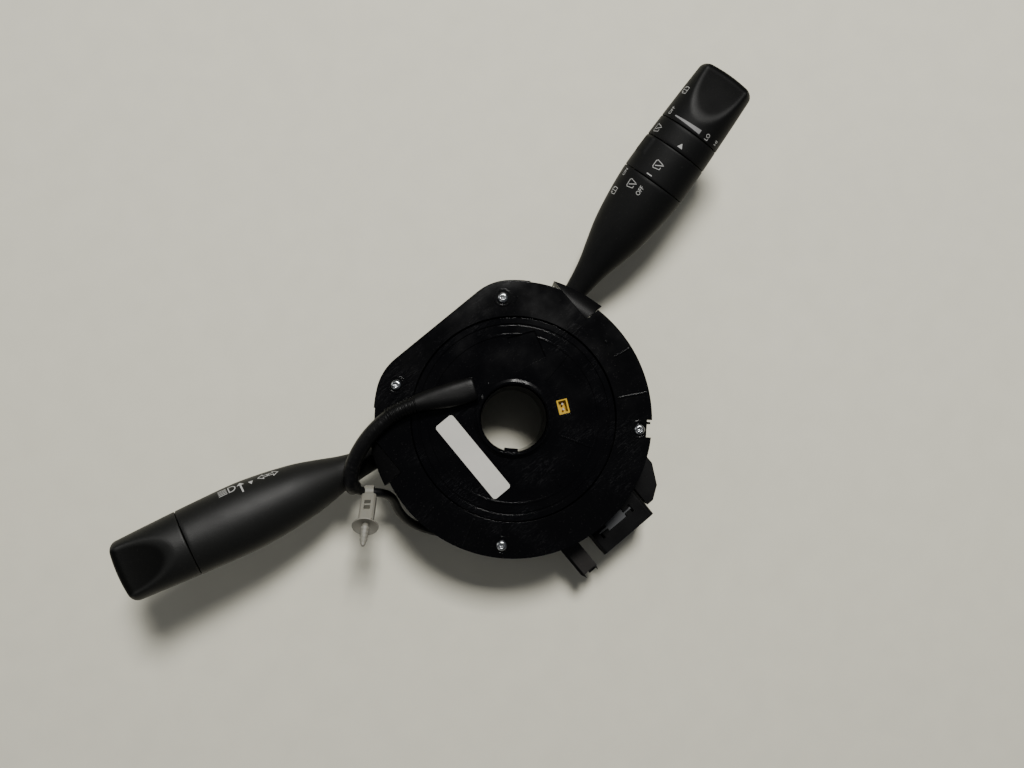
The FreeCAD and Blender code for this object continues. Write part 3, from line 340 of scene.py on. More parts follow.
# %% [markdown]
# ### Hairline scuffs
# The gloss faces of the rotor and the plate carry fine hairlines in all directions, seen as short
# bright lines where they catch the light. They could be drawn one by one. Three noises stretched
# along different directions, and kept only near one value, give many thin lines at once, which
# lift the roughness and the tone a little where they lie.
# %% Group: hairline scuffs
SCUFF_DIRECTIONS = ((20, 9.0), (-55, 12.0), (78, 7.0))
KEPT_VALUE, LINE_RANGE = 0.5, (0.0, 0.012)
WORN_SCALE, WORN_RANGE = 45.0, (0.48, 0.62)

scuffs, s_in, s_out = new_group("hairline_scuffs", [("Amount", FLOAT, 0.3), ("Size", FLOAT, 90.0)],
                                [("Mask", FLOAT)])
place = add(scuffs, "ShaderNodeTexCoord").outputs["Object"]
line_masks = []
for turn, stretch in SCUFF_DIRECTIONS:
    turned = add(scuffs, "ShaderNodeMapping", {"Vector": place, "Rotation": (0, 0, math.radians(turn)),
                                               "Scale": (1.0, stretch, 1.0)})
    lines = noise(scuffs, turned.outputs["Vector"], s_in.outputs["Size"], detail=1.5)
    away = calc(scuffs, "ABSOLUTE", calc(scuffs, "SUBTRACT", lines, KEPT_VALUE))
    line_masks.append(map_range(scuffs, away, LINE_RANGE, (1.0, 0.0)))
all_lines = line_masks[0]
for line_mask in line_masks[1:]:
    all_lines = calc(scuffs, "MAXIMUM", all_lines, line_mask)
worn_mask = map_range(scuffs, noise(scuffs, place, WORN_SCALE, detail=2.0), WORN_RANGE)
kept_lines = calc(scuffs, "MULTIPLY", all_lines, worn_mask)
scuffs.links.new(calc(scuffs, "MULTIPLY", kept_lines, s_in.outputs["Amount"]), s_out.inputs["Mask"])
print("group", scuffs.name, "has", len(scuffs.nodes), "nodes")

# %% [markdown]
# ## Materials
# Each finish is a Principled shader. What is the same all over a surface, such as its metalness
# or its coat, is set on the shader itself; only the tone, the roughness and the bump come from
# the groups, because those are what vary. The levers vary their specular level as well.
#
# A moulded edge is never sharp: the tool leaves about a quarter of a millimetre of radius, and
# that is the thin line that shows where one black face ends and the next begins. The CAD edges
# could be cut back in the mesh, but long thin faces then shade unevenly. The Bevel node bends only
# the shading near an edge, so the CAD mesh stays as it is.
# %% How a finish is made
COAT_ROUGHNESS = 0.12
SUBSURFACE_RADIUS = (0.004, 0.003, 0.002)
BUMP_DISTANCE = 0.2 * MM
EDGE, EDGE_SAMPLES = 0.25 * MM, 4
SCUFF_TONE = (0.16, 0.16, 0.165, 1)
# Painted shade in the thumb scoop: how far its tone darkens, and how much of its specular level stays
SCOOP_PAINTED_SHADE, SCOOP_SHINE = 0.45, 0.3


def finish(name, tone, roughness, grain_depth, grain_size, patchiness, dust, scuff=0.0, metallic=0.0,
           specular=0.5, coat=0.0, subsurface=0.0, edge=0.0):
    """One material of the part, from the shared groups and its own amounts."""
    material = bpy.data.materials.new(name)
    material.use_nodes = True
    tree = material.node_tree
    shader = tree.nodes["Principled BSDF"]
    even = {"Metallic": metallic, "Specular IOR Level": specular, "Coat Weight": coat,
            "Coat Roughness": COAT_ROUGHNESS, "Subsurface Weight": subsurface,
            "Subsurface Radius": SUBSURFACE_RADIUS}
    for title, value in even.items():
        shader.inputs[title].default_value = value
    surface = add(tree, "ShaderNodeGroup", {"Tone": (*tone, 1), "Roughness": roughness,
                                            "Grain size": grain_size, "Patchiness": patchiness,
                                            "Dust": dust}, node_tree=moulded)
    bump = add(tree, "ShaderNodeBump", {"Height": surface.outputs["Height"], "Strength": grain_depth,
                                        "Distance": BUMP_DISTANCE})
    if edge:
        rounded = add(tree, "ShaderNodeBevel", {"Radius": edge}, samples=EDGE_SAMPLES)
        tree.links.new(rounded.outputs["Normal"], bump.inputs["Normal"])
    color, varied = surface.outputs["Color"], surface.outputs["Roughness"]
    if scuff:
        mask = add(tree, "ShaderNodeGroup", {"Amount": scuff}, node_tree=scuffs).outputs["Mask"]
        color = mixed(tree, mask, color, SCUFF_TONE)
        varied = calc(tree, "ADD", varied, mask)
    tree.links.new(bump.outputs["Normal"], shader.inputs["Normal"])
    tree.links.new(color, shader.inputs["Base Color"])
    tree.links.new(varied, shader.inputs["Roughness"])
    return material


def lever_finish(name, tone, roughness, specular):
    """A lever's grained plastic, with painted shade darkening the thumb scoop and less shine there."""
    material = finish(name, tone, roughness, grain_depth=0.35, grain_size=2900, patchiness=0.08,
                      dust=0.05, specular=specular)
    tree = material.node_tree
    shader = tree.nodes["Principled BSDF"]
    scoop = add(tree, "ShaderNodeAttribute", attribute_name="scoop").outputs["Fac"]
    base = shader.inputs["Base Color"].links[0].from_socket
    # Painted shade: the tone darkens where the skin sinks into the thumb scoop
    shade = map_range(tree, scoop, (0.0, 1.0), (1.0, SCOOP_PAINTED_SHADE))
    darker = add(tree, "ShaderNodeHueSaturation", {"Color": base, "Value": shade})
    tree.links.new(darker.outputs["Color"], shader.inputs["Base Color"])
    shine = map_range(tree, scoop, (0.0, 1.0), (specular, specular * SCOOP_SHINE))
    tree.links.new(shine, shader.inputs["Specular IOR Level"])
    return material


print("finish helpers ready")

# %% Plastic, metal and rubber finishes
# Each line gives the tone, roughness, grain depth, grain size, patchiness, dust and any scuffs
cover_gloss = finish("cover_gloss", (0.0014, 0.0014, 0.0017), 0.15, 0.015, 1800, 0.1, 0.04, 0.05,
                     specular=0.22, edge=EDGE)
rotor_gloss = finish("rotor_gloss", (0.0012, 0.0012, 0.0016), 0.13, 0.012, 1800, 0.1, 0.04, 0.05,
                     specular=0.22, edge=EDGE)
carrier_black = finish("carrier_black", (0.0022, 0.0022, 0.0024), 0.4, 0.15, 2400, 0.15, 0.06,
                       specular=0.12, edge=EDGE)
hood_satin = finish("hood_satin", (0.003, 0.003, 0.0032), 0.3, 0.1, 2400, 0.12, 0.06, specular=0.07,
                    edge=EDGE)
lever_charcoal = lever_finish("lever_charcoal", (0.0062, 0.0064, 0.006), 0.45, specular=0.2)
lever_black = lever_finish("lever_black", (0.0038, 0.004, 0.004), 0.5, specular=0.15)
zinc = finish("zinc_screw", (0.4, 0.41, 0.42), 0.22, 0.1, 3000, 0.1, 0.1, metallic=1.0)
brass = finish("brass_insert", (0.72, 0.55, 0.25), 0.32, 0.1, 3000, 0.1, 0.05, metallic=1.0)
tinned = finish("tinned_pin", (0.5, 0.48, 0.43), 0.28, 0.05, 3000, 0.1, 0.02, metallic=1.0)
steel = finish("pin_steel", (0.58, 0.58, 0.6), 0.3, 0.05, 3000, 0.08, 0.02, metallic=1.0)
boot_rubber = finish("lead_rubber", (0.0024, 0.0024, 0.0025), 0.42, 0.25, 1500, 0.18, 0.06, specular=0.12)
cable_black = finish("cable_jacket", (0.003, 0.003, 0.0033), 0.4, 0.15, 1200, 0.12, 0.05, specular=0.25)
nylon = finish("natural_nylon", (0.19, 0.183, 0.155), 0.45, 0.1, 1200, 0.1, 0.03, subsurface=0.2,
               edge=EDGE)
acetal = finish("natural_acetal", (0.8, 0.78, 0.72), 0.4, 0.08, 1600, 0.06, 0.02, subsurface=0.1,
                edge=EDGE)
lock_grey = finish("lock_grey", (0.045, 0.047, 0.05), 0.42, 0.12, 2400, 0.1, 0.05, edge=EDGE)
header_brown = finish("header_brown", (0.010, 0.0085, 0.0075), 0.42, 0.15, 2400, 0.15, 0.08,
                      specular=0.35, edge=EDGE)
terminal_black = finish("terminal_black", (0.006, 0.006, 0.0065), 0.45, 0.15, 2400, 0.1, 0.05, edge=EDGE)
socket_yellow = finish("socket_yellow", (0.5, 0.31, 0.01), 0.4, 0.08, 1600, 0.08, 0.04, specular=0.3,
                       edge=EDGE)
label_film = finish("label_film", (0.5, 0.49, 0.45), 0.5, 0.08, 900, 0.05, 0.05)
board_green = finish("board_green", (0.015, 0.11, 0.045), 0.35, 0.1, 1600, 0.1, 0.03, coat=0.4)
ribbon_film = finish("ribbon_film", (0.5, 0.25, 0.05), 0.25, 0.05, 900, 0.08, 0.02)
magnet_grey = finish("magnet_grey", (0.1, 0.1, 0.11), 0.4, 0.1, 2400, 0.1, 0.02, metallic=0.6)
arm_plastic = finish("arm_plastic", (0.045, 0.045, 0.047), 0.5, 0.3, 1600, 0.12, 0.05, edge=EDGE)
mark_white = finish("mark_white", (0.36, 0.36, 0.35), 0.5, 0.15, 3000, 0.12, 0.0)
wedge_grey = finish("wedge_grey", (0.2, 0.2, 0.2), 0.45, 0.1, 3000, 0.1, 0.0)
floor_finish = finish("pale_floor", (0.69, 0.67, 0.56), 0.75, 0.12, 260, 0.02, 0.0, specular=0.2)
print("finishes:", len(bpy.data.materials))

# %% [markdown]
# ### Wrinkled sleeve
# The thick sleeve is a soft rubber tube that has shrunk onto the wires, so it is creased across
# and a little shiny on its ridges. A curve's own UV map runs along the cord in one direction and
# round it in the other, so a noise stretched round the cord makes the creases follow each bend.
# %% Material: wrinkled sleeve
CREASE_STRETCH = (26.0, 2.2, 1.0)
CREASE_STRENGTH, CREASE_DEPTH = 0.55, 0.6 * MM

lead_sleeving = finish("lead_sleeving", (0.0024, 0.0024, 0.0026), 0.36, 0.2, 1500, 0.16, 0.06,
                       specular=0.18)
tree = lead_sleeving.node_tree
shader = tree.nodes["Principled BSDF"]
sleeve_uv = add(tree, "ShaderNodeUVMap")
creased = add(tree, "ShaderNodeMapping", {"Vector": sleeve_uv.outputs["UV"], "Scale": CREASE_STRETCH})
creases = noise(tree, creased.outputs["Vector"], scale=1.0, detail=3.0, Distortion=0.8)
grain_normal = shader.inputs["Normal"].links[0].from_socket
crease_bump = add(tree, "ShaderNodeBump", {"Height": creases, "Strength": CREASE_STRENGTH,
                                           "Distance": CREASE_DEPTH, "Normal": grain_normal})
tree.links.new(crease_bump.outputs["Normal"], shader.inputs["Normal"])
print("sleeve creases ready")

# %% Finishes of the floor and the lead
floor.data.materials.append(floor_finish)
dress(lead_sleeve, "rotor", lead_sleeving, "lead_sleeving", "lead_sleeve")
dress(lead_cable, "rotor", cable_black, "cable_jacket", "lead_cable")
print("floor and lead dressed")

# %% [markdown]
# ## Lever skins
# Both levers are the same hollow moulding: a thin round neck that swells to a flattened oval and
# ends in a cap with a thumb scoop. A scaled cylinder would miss the swelling, so the skin is a
# loft: rings of points whose half width is read from a few measured sections along the lever,
# joined smoothly. The numbers are millimetres in the lever's own frame, X along it and Z up.
# %% The lever's frame and sections
LEVER_ORIGIN = (44.0, 24.0, 19.5)
LEVER_AZIMUTH, LEVER_RISE = math.radians(14.4), math.radians(17.2)
LEVER_LENGTH, LEVER_FLATNESS = 150.2, 0.72
SEAM_RING, SEAM_COLLAR, SEAM_KNOB, SEAM_GAP = 90.1, 107.9, 118.5, 0.3
LEVER_WIDTHS = ((19.0, 10.4), (30.0, 12.8), (40.0, 16.4), (50.0, 21.9), (60.0, 26.9), (70.0, 30.1),
                (80.0, 32.3), (90.0, 33.5), (107.0, 32.8), (128.5, 31.0), (150.2, 28.8))
LEVER_START = LEVER_WIDTHS[0][0]
LEFT, RIGHT = -1, 1


def lever_matrix(side):
    """From millimetres in a lever's own frame to metres in the part's frame."""
    x, y, z = LEVER_ORIGIN
    heading = LEVER_AZIMUTH if side == RIGHT else math.pi - LEVER_AZIMUTH
    return (Matrix.Translation(Vector((side * x, y, z)) * MM) @ Matrix.Rotation(heading, 4, "Z")
            @ Matrix.Rotation(-LEVER_RISE, 4, "Y") @ Matrix.Scale(MM, 4))


def half_width(x):
    """Half the lever's width at x, on a smooth curve through the measured sections."""
    xs, ws = [p[0] for p in LEVER_WIDTHS], [p[1] / 2 for p in LEVER_WIDTHS]
    x = min(max(x, xs[0]), xs[-1])
    i = max(k for k in range(len(xs) - 1) if xs[k] <= x)
    slopes = []
    for k in (i, i + 1):
        a, b = max(k - 1, 0), min(k + 1, len(xs) - 1)
        slopes.append((ws[b] - ws[a]) / (xs[b] - xs[a]))
    span = xs[i + 1] - xs[i]
    t = (x - xs[i]) / span
    return ((2 * t ** 3 - 3 * t ** 2 + 1) * ws[i] + (t ** 3 - 2 * t ** 2 + t) * span * slopes[0]
            + (3 * t ** 2 - 2 * t ** 3) * ws[i + 1] + (t ** 3 - t ** 2) * span * slopes[1])


print("half widths:", [round(half_width(x), 2) for x in (20, 45, 80, 120, 150)])

# %% [markdown]
# ### Thumb scoop and tip
# The scoop is where a large round cutter would graze the cap: its bottom is an arc along the
# lever, deepest at the tip. A Boolean would do it, but leaves a hard, ragged edge. Blending the
# oval's height with the cutter's height by a smooth minimum gives the same form with a soft lip.
# How deep the skin lies under the oval is kept on its points, for the painted shade and the lower shine in
# the scoop.
# %% Scoop, rims and tip
SCOOP_RADIUS, SCOOP_X, SCOOP_FLOOR, LIP = 80.0, 153.2, 6.2, 0.6
TIP_ROUND, TIP_BULGE, TIP_START = 3.2, 1.3, 132.0
TIP_STEPS, TIP_SCALES = 9, (0.85, 0.65, 0.4, 0.15)
END_INSET, RIM_SHARE = 2.6, 0.3
SHADE_FROM, SHADE_TO = 0.5, 1.6
AROUND = 112


def soft_step(value, low, high):
    t = min(max((value - low) / (high - low), 0.0), 1.0)
    return t * t * (3 - 2 * t)


def smooth_lower(a, b, softness):
    """The lower of two heights, blended where they are close."""
    gap = max(softness - abs(a - b), 0.0) / softness
    return min(a, b) - gap * gap * softness / 4


def skin_point(x, angle, inset, scoop=False, bump=0.0):
    """A point of the skin at x and angle round it, 0 at the driver's side."""
    wide = half_width(x) - inset + bump
    high = half_width(x) * LEVER_FLATNESS - inset + bump
    y, z = wide * math.sin(angle), high * math.cos(angle)
    if scoop and z > 0:
        reach = SCOOP_RADIUS ** 2 - (x - SCOOP_X) ** 2
        cutter = SCOOP_FLOOR + SCOOP_RADIUS - math.sqrt(reach) - inset
        z = smooth_lower(z, cutter, LIP)
    return Vector((x, y, z))


def ring_of(bm, x, inset, scale, tip, bump_at):
    """One ring of the skin; near the tip its middle runs ahead of its sides."""
    behind = TIP_BULGE * soft_step(x, TIP_START, LEVER_LENGTH) if tip else 0.0
    ring = []
    for k in range(AROUND):
        angle = 2 * math.pi * k / AROUND
        bump = bump_at(x, angle) if bump_at else 0.0
        p = skin_point(x, angle, inset, tip, bump) * scale
        ring.append(bm.verts.new((x - behind * (p.y / half_width(x)) ** 2, p.y, p.z)))
    return ring


def lever_skin(name, side, x0, x1, edge, step=1.4, tip=False, bump_at=None):
    """A closed stretch of the lever between two seams, with rounded rims, or with the cap's tip."""
    rim = RIM_SHARE * edge
    rows = [(x0, END_INSET, 1.0), (x0, edge, 1.0), (x0 + rim, rim, 1.0)]
    last = x1 - TIP_ROUND if tip else x1 - edge
    count = max(2, round((last - x0 - edge) / step))
    rows += [(x0 + edge + (last - x0 - edge) * i / count, 0.0, 1.0) for i in range(count + 1)]
    if tip:
        turns = [math.radians(90 * i / TIP_STEPS) for i in range(1, TIP_STEPS + 1)]
        rows += [(last + TIP_ROUND * math.sin(t), TIP_ROUND * (1 - math.cos(t)), 1.0) for t in turns]
        rows += [(x1, TIP_ROUND, scale) for scale in TIP_SCALES]
    else:
        rows += [(x1 - rim, rim, 1.0), (x1, edge, 1.0), (x1, END_INSET, 1.0)]
    bm = bmesh.new()
    rings = [ring_of(bm, x, inset, scale, tip, bump_at) for x, inset, scale in rows]
    stitch(bm, rings)
    for ring in (rings[0], rings[-1]):
        middle = sum((v.co for v in ring), Vector()) / AROUND
        centre = bm.verts.new(middle)
        for k in range(AROUND):
            bm.faces.new((ring[k], ring[(k + 1) % AROUND], centre))
    # How deep the skin lies in the scoop, kept as the mask for the painted shade and lower shine there
    depth = bm.verts.layers.float.new("scoop")
    for v in bm.verts:
        half = half_width(v.co.x)
        oval = half * LEVER_FLATNESS * math.sqrt(max(1 - (v.co.y / half) ** 2, 0.0))
        v[depth] = soft_step(oval - v.co.z, SHADE_FROM, SHADE_TO) if tip and v.co.z > 0 else 0.0
    bm.transform(lever_matrix(side))
    return mesh_object(name, bm)


print("skin points round the lever:", AROUND)

# %% Left lever: turn signals and lamps
left_shell = lever_skin("turn_lever_shell", LEFT, LEVER_START, SEAM_KNOB - SEAM_GAP, edge=0.45)
left_cap = lever_skin("turn_lever_cap", LEFT, SEAM_KNOB, LEVER_LENGTH, edge=0.45, step=0.7, tip=True)
dress(left_shell, "left_lever", lever_charcoal, "lever_charcoal", "left_stalk_shell")
dress(left_cap, "left_lever", lever_charcoal, "lever_charcoal", "left_stalk_cap")
print("left lever:", len(left_shell.data.polygons) + len(left_cap.data.polygons), "faces")

# %% [markdown]
# ### Right lever: two rotary switches
# The wiper lever is cut into four stretches: a fixed base, a ring that turns for the rear wiper,
# a fixed collar and the knob that turns for the front wiper. The ring has a raised facet for the
# finger near its far edge, made by lifting the skin under a soft mask.
# %% Right lever: base, ring, collar and knob
FACET_ANGLE, FACET_HALF, FACET_RISE = math.radians(60), math.radians(17), 0.85
FACET_FLAT = 0.65
FACET_NEAR, FACET_FAR = (SEAM_RING + 6.0, SEAM_RING + 8.5), (SEAM_COLLAR - 1.6, SEAM_COLLAR - 0.6)


def facet(x, angle):
    """How far the finger facet lifts the ring's skin here."""
    turn = abs((angle - FACET_ANGLE + math.pi) % (2 * math.pi) - math.pi)
    across = 1 - soft_step(turn, FACET_HALF * FACET_FLAT, FACET_HALF)
    lengthwise = soft_step(x, *FACET_NEAR) * (1 - soft_step(x, *FACET_FAR))
    return FACET_RISE * across * lengthwise


right_base = lever_skin("wiper_lever_base", RIGHT, LEVER_START, SEAM_RING - SEAM_GAP, edge=0.4)
right_ring = lever_skin("rear_wiper_ring", RIGHT, SEAM_RING, SEAM_COLLAR - SEAM_GAP, edge=0.35, step=0.6,
                        bump_at=facet)
right_collar = lever_skin("wiper_lever_collar", RIGHT, SEAM_COLLAR, SEAM_KNOB - SEAM_GAP, edge=0.35)
right_knob = lever_skin("front_wiper_knob", RIGHT, SEAM_KNOB, LEVER_LENGTH, edge=0.4, step=0.7, tip=True)
dress(right_base, "right_lever", lever_black, "lever_black", "right_stalk_base")
dress(right_ring, "rear_wiper_switch", lever_black, "lever_black", "wiper_ring")
dress(right_collar, "right_lever", lever_black, "lever_black", "wiper_collar")
dress(right_knob, "front_wiper_switch", lever_black, "lever_black", "wiper_knob")
print("right lever stretches:", [o.name for o in (right_base, right_ring, right_collar, right_knob)])

# %% [markdown]
# ## Printed marks
# The levers carry small pad-printed signs: lamps, turn arrows, wipers, and the words of a switch.
# They could be a painted mask in the material, but thin shapes laid on the skin stay crisp at any
# size. Each sign is drawn flat, in millimetres, and then wrapped onto the lever: one direction
# runs along it and the other round it, a hair above the surface.
# %% Drawing strokes and wrapping them
PRINT_LIFT, LONGEST_EDGE = 0.05, 0.8
ROUND_FACTOR = (1 + LEVER_FLATNESS) / 2


def stroke(bm, points, width, closed=False):
    """A line of even width through flat points."""
    places = [Vector((x, y, 0)) for x, y in points]
    pairs = list(zip(places, places[1:] + ([places[0]] if closed else [])))
    for a, b in pairs:
        along = (b - a).normalized() * width / 2
        side = Vector((-along.y, along.x, 0))
        corners = [a - along - side, b + along - side, b + along + side, a - along + side]
        bm.faces.new([bm.verts.new(c) for c in corners])


def filled(bm, points):
    bm.faces.new([bm.verts.new((x, y, 0)) for x, y in points])


def arc_points(x, y, radius, start, end, count=10):
    angles = [math.radians(start + (end - start) * i / count) for i in range(count + 1)]
    return [(x + radius * math.cos(a), y + radius * math.sin(a)) for a in angles]


def wrapped(bm, side, x, angle, turn):
    """Lays a flat drawing on the lever at x and angle, its up side round the lever."""
    long_edges = [e for e in bm.edges if e.calc_length() > LONGEST_EDGE]
    bmesh.ops.subdivide_edges(bm, edges=long_edges, cuts=2, use_grid_fill=True)
    spin = Matrix.Rotation(math.radians(turn), 4, "Z")
    flip = 1 if side == RIGHT else -1
    for v in bm.verts:
        flat = spin @ v.co
        at_x = x + flip * flat.x
        at_angle = math.radians(angle) + flip * flat.y / (half_width(at_x) * ROUND_FACTOR)
        v.co = skin_point(at_x, at_angle, -PRINT_LIFT)
    bm.transform(lever_matrix(side))


def word(text, size):
    """A generic switch word as a flat bmesh, centred."""
    data = bpy.data.curves.new("word", "FONT")
    data.body = text
    data.size = size
    data.align_x = "CENTER"
    data.align_y = "CENTER"
    data.resolution_u = 3
    obj = link(bpy.data.objects.new("word", data))
    bm = bmesh.new()
    bm.from_mesh(plain_mesh(obj, "word"))
    bpy.data.objects.remove(obj)
    return bm


print("marks lie", PRINT_LIFT, "mm above the skin")

# %% Signs
WEDGE_ROWS, WEDGE_HALF, WEDGE_NARROW, WEDGE_GROWS = 16, 6.6, 0.28, 0.8


def lamp_sign():
    bm = bmesh.new()
    bowl = [(0.6, 2.0), (1.7, 2.0)] + arc_points(1.7, 0, 2.0, 90, -90) + [(0.6, -2.0)]
    stroke(bm, bowl, 0.5, closed=True)
    for y in (-2.0, -1.0, 0.0, 1.0, 2.0):
        stroke(bm, [(-0.6, y), (-4.2, y)], 0.42)
    return bm


def push_arrow_sign():
    bm = bmesh.new()
    stroke(bm, [(0, -3.2), (0, 1.4)], 0.8)
    filled(bm, [(-1.8, 1.2), (1.8, 1.2), (0, 3.4)])
    return bm


def pointer_sign():
    bm = bmesh.new()
    filled(bm, [(-1.2, -1.0), (1.2, -1.0), (0, 1.3)])
    return bm


def turn_arrow_sign(way):
    bm = bmesh.new()
    outline = [(0, 0.7), (2.1, 0.7), (2.1, 1.8), (4.5, 0), (2.1, -1.8), (2.1, -0.7), (0, -0.7)]
    stroke(bm, [(way * x, y) for x, y in outline], 0.4, closed=True)
    return bm


def wiper_sign():
    bm = bmesh.new()
    screen = [(-0.4, -1.5), (-1.4, -1.5), (-2.1, 1.2), (-1.5, 1.7), (1.5, 1.7), (2.1, 1.2), (1.4, -1.5)]
    stroke(bm, screen, 0.28)
    stroke(bm, [(1.1, -2.0), (-0.7, 0.9)], 0.34)
    return bm


def washer_sign():
    bm = bmesh.new()
    screen = [(-1.6, -1.2), (-1.9, 1.1)] + arc_points(0, 0.2, 2.0, 150, 30, 6) + [(1.6, -1.2)]
    stroke(bm, screen, 0.3, closed=True)
    for x in (-1.0, 0.0, 1.0):
        stroke(bm, [(x, 0.9), (x * 1.4, 1.9)], 0.26)
    stroke(bm, [(0, -1.0), (0, 0.5)], 0.26)
    return bm


def bar_sign():
    bm = bmesh.new()
    stroke(bm, [(0, -1.0), (0, 1.0)], 0.5)
    return bm


def wedge_sign():
    """A long wedge in rows, so that it can follow the round of the knob."""
    bm = bmesh.new()
    shares = [i / WEDGE_ROWS for i in range(WEDGE_ROWS + 1)]
    rows = [(WEDGE_HALF - 2 * WEDGE_HALF * s, WEDGE_NARROW + WEDGE_GROWS * s) for s in shares]
    verts = [[bm.verts.new((edge * half, y, 0)) for edge in (-1, 1)] for y, half in rows]
    for (a, b), (d, c) in zip(verts, verts[1:]):
        bm.faces.new((a, b, c, d))
    return bm


print("signs ready")

# %% Signs on the levers
# Name, lever, body, drawing, place along the lever in millimetres, angle round it, turn of the sign
MARKS = (
    ("left_lamp_mark", LEFT, "left_lever", lamp_sign(), 93.5, -59, 0),
    ("left_push_mark", LEFT, "left_lever", push_arrow_sign(), 87.2, -54, 0),
    ("left_pointer_mark", LEFT, "left_lever", pointer_sign(), 82.4, -55, 180),
    ("left_arrow_mark", LEFT, "left_lever", turn_arrow_sign(1), 73.7, -60, 0),
    ("right_arrow_mark", LEFT, "left_lever", turn_arrow_sign(-1), 74.3, -60, 0),
    ("rear_on_mark", RIGHT, "right_lever", word("ON", 2.5), 86.6, 59, 0),
    ("rear_wiper_mark", RIGHT, "right_lever", wiper_sign(), 83.5, 30, 0),
    ("rear_washer_mark", RIGHT, "right_lever", washer_sign(), 76.5, 57, 0),
    ("rear_off_mark", RIGHT, "right_lever", word("OFF", 2.7), 83.0, 10, 0),
    ("ring_wiper_mark", RIGHT, "rear_wiper_switch", wiper_sign(), 97.5, 10, 0),
    ("ring_index_mark", RIGHT, "rear_wiper_switch", bar_sign(), 91.7, 13, 0),
    ("collar_pointer_mark", RIGHT, "right_lever", pointer_sign(), 110.6, -2, -90),
    ("collar_wiper_mark", RIGHT, "right_lever", wiper_sign(), 111.8, 57, 0),
    ("knob_off_mark", RIGHT, "front_wiper_switch", word("OFF", 2.4), 122.0, 55, 0),
    ("knob_low_mark", RIGHT, "front_wiper_switch", word("LO", 2.6), 121.0, -32, 0),
    ("knob_high_mark", RIGHT, "front_wiper_switch", word("HI", 2.6), 121.4, -57, 0),
    ("knob_washer_mark", RIGHT, "front_wiper_switch", washer_sign(), 133.2, 59, 0),
    ("knob_speed_wedge", RIGHT, "front_wiper_switch", wedge_sign(), 120.8, 12, 0),
)
for name, side, body, drawing, x, angle, turn in MARKS:
    wrapped(drawing, side, x, angle, turn)
    sign = mesh_object(name, drawing, smooth=False)
    print_tone = wedge_grey if name == "knob_speed_wedge" else mark_white
    dress(sign, body, print_tone, "lever_charcoal" if side == LEFT else "lever_black")
print("marks:", len(MARKS))

# %% [markdown]
# ## Moulded boot
# Where the lead leaves the rotor it is gripped by a flat rubber boot that narrows into the round
# sleeve. It is a loft as well: rounded rectangles along the lead, wide and low at the rotor and
# nearly round at the sleeve. The frame of each section comes from the lead's own direction.
# %% Boot skin
BOOT_SIZES = ((11.6, 6.4), (12.0, 7.2), (10.2, 7.8), (8.6, 8.3))
BOOT_ROWS, BOOT_AROUND = 36, 40
BOOT_GLANCE = 0.02
END_PARTS, END_SIZE, END_GROWS = 9, 0.88, 0.12
SQUARE_START, SQUARE_LOSS = 3.2, 1.1
boot_points = [Vector(p) for p in BOOT_ROUTE]


def between(values, t):
    """A smooth value among several, t from 0 to 1."""
    spot = t * (len(values) - 1)
    i = min(int(spot), len(values) - 2)
    part = spot - i
    before, a, b, after = (values[max(i - 1, 0)], values[i], values[i + 1],
                           values[min(i + 2, len(values) - 1)])
    return 0.5 * (2 * a + (b - before) * part + (2 * before - 5 * a + 4 * b - after) * part ** 2
                  + (3 * a - before - 3 * b + after) * part ** 3)


def boot_middle(t):
    """A point on the boot's middle line, t from 0 to 1."""
    return Vector([between([p[k] for p in boot_points], t) for k in range(3)])


def squared(value, square):
    """A sine or cosine pushed outwards, which turns a circle into a rounded rectangle."""
    return math.copysign(abs(value) ** (2 / square), value)


def boot_ring(bm, t):
    """One section of the boot; the first ninth swells from a rounded end to the full size."""
    forward = (boot_middle(min(t + BOOT_GLANCE, 1.0)) - boot_middle(max(t - BOOT_GLANCE, 0.0))).normalized()
    across = Vector((0, 0, 1)).cross(forward).normalized()
    up = forward.cross(across).normalized()
    wide, high = (between([s[n] for s in BOOT_SIZES], t) / 2 * MM for n in (0, 1))
    ease = math.sqrt(1 - (1 - min(t * END_PARTS, 1.0)) ** 2) * END_GROWS + END_SIZE
    square = SQUARE_START - SQUARE_LOSS * t
    ring = []
    for k in range(BOOT_AROUND):
        a = 2 * math.pi * k / BOOT_AROUND
        u = squared(math.cos(a), square) * wide * ease
        v = squared(math.sin(a), square) * high * ease
        ring.append(bm.verts.new(boot_middle(t) + across * u + up * v))
    return ring


boot_bm = bmesh.new()
boot_rings = [boot_ring(boot_bm, row / BOOT_ROWS) for row in range(BOOT_ROWS + 1)]
stitch(boot_bm, boot_rings)
boot_bm.faces.new(boot_rings[0])
boot_bm.faces.new(boot_rings[-1][::-1])
boot = mesh_object("lead_boot_skin", boot_bm)
dress(boot, "rotor", boot_rubber, "lead_rubber", "lead_boot")
print("boot faces:", len(boot.data.polygons))

# %% [markdown]
# ## Ribs at the boot's mouth
# Over its first stretch the sleeve is ribbed, so that it bends without kinking. Ribs repeat along
# a path, which is what Geometry Nodes are for: the tree resamples a piece of the lead's line,
# puts a thin ring on each point, turned to the line's direction, and makes the rings real.
# %% Geometry Nodes: ribs along a path
HOOP_POINTS, WIRE_POINTS = 36, 8
RIB_COUNT, RIB_SINK, RIB_RADIUS = 10, 0.1 * MM, 0.5 * MM


def geometry_tree(name, inputs):
    """A geometry node tree with a mesh or curve coming in and named size inputs."""
    tree = bpy.data.node_groups.new(name, "GeometryNodeTree")
    tree.interface.new_socket("Geometry", in_out="INPUT", socket_type="NodeSocketGeometry")
    sockets = {}
    for title, kind, value in inputs:
        socket = tree.interface.new_socket(title, in_out="INPUT", socket_type=kind)
        if value is not None:
            socket.default_value = value
        sockets[title] = socket.identifier
    tree.interface.new_socket("Geometry", in_out="OUTPUT", socket_type="NodeSocketGeometry")
    return tree, tree.nodes.new("NodeGroupInput"), tree.nodes.new("NodeGroupOutput"), sockets


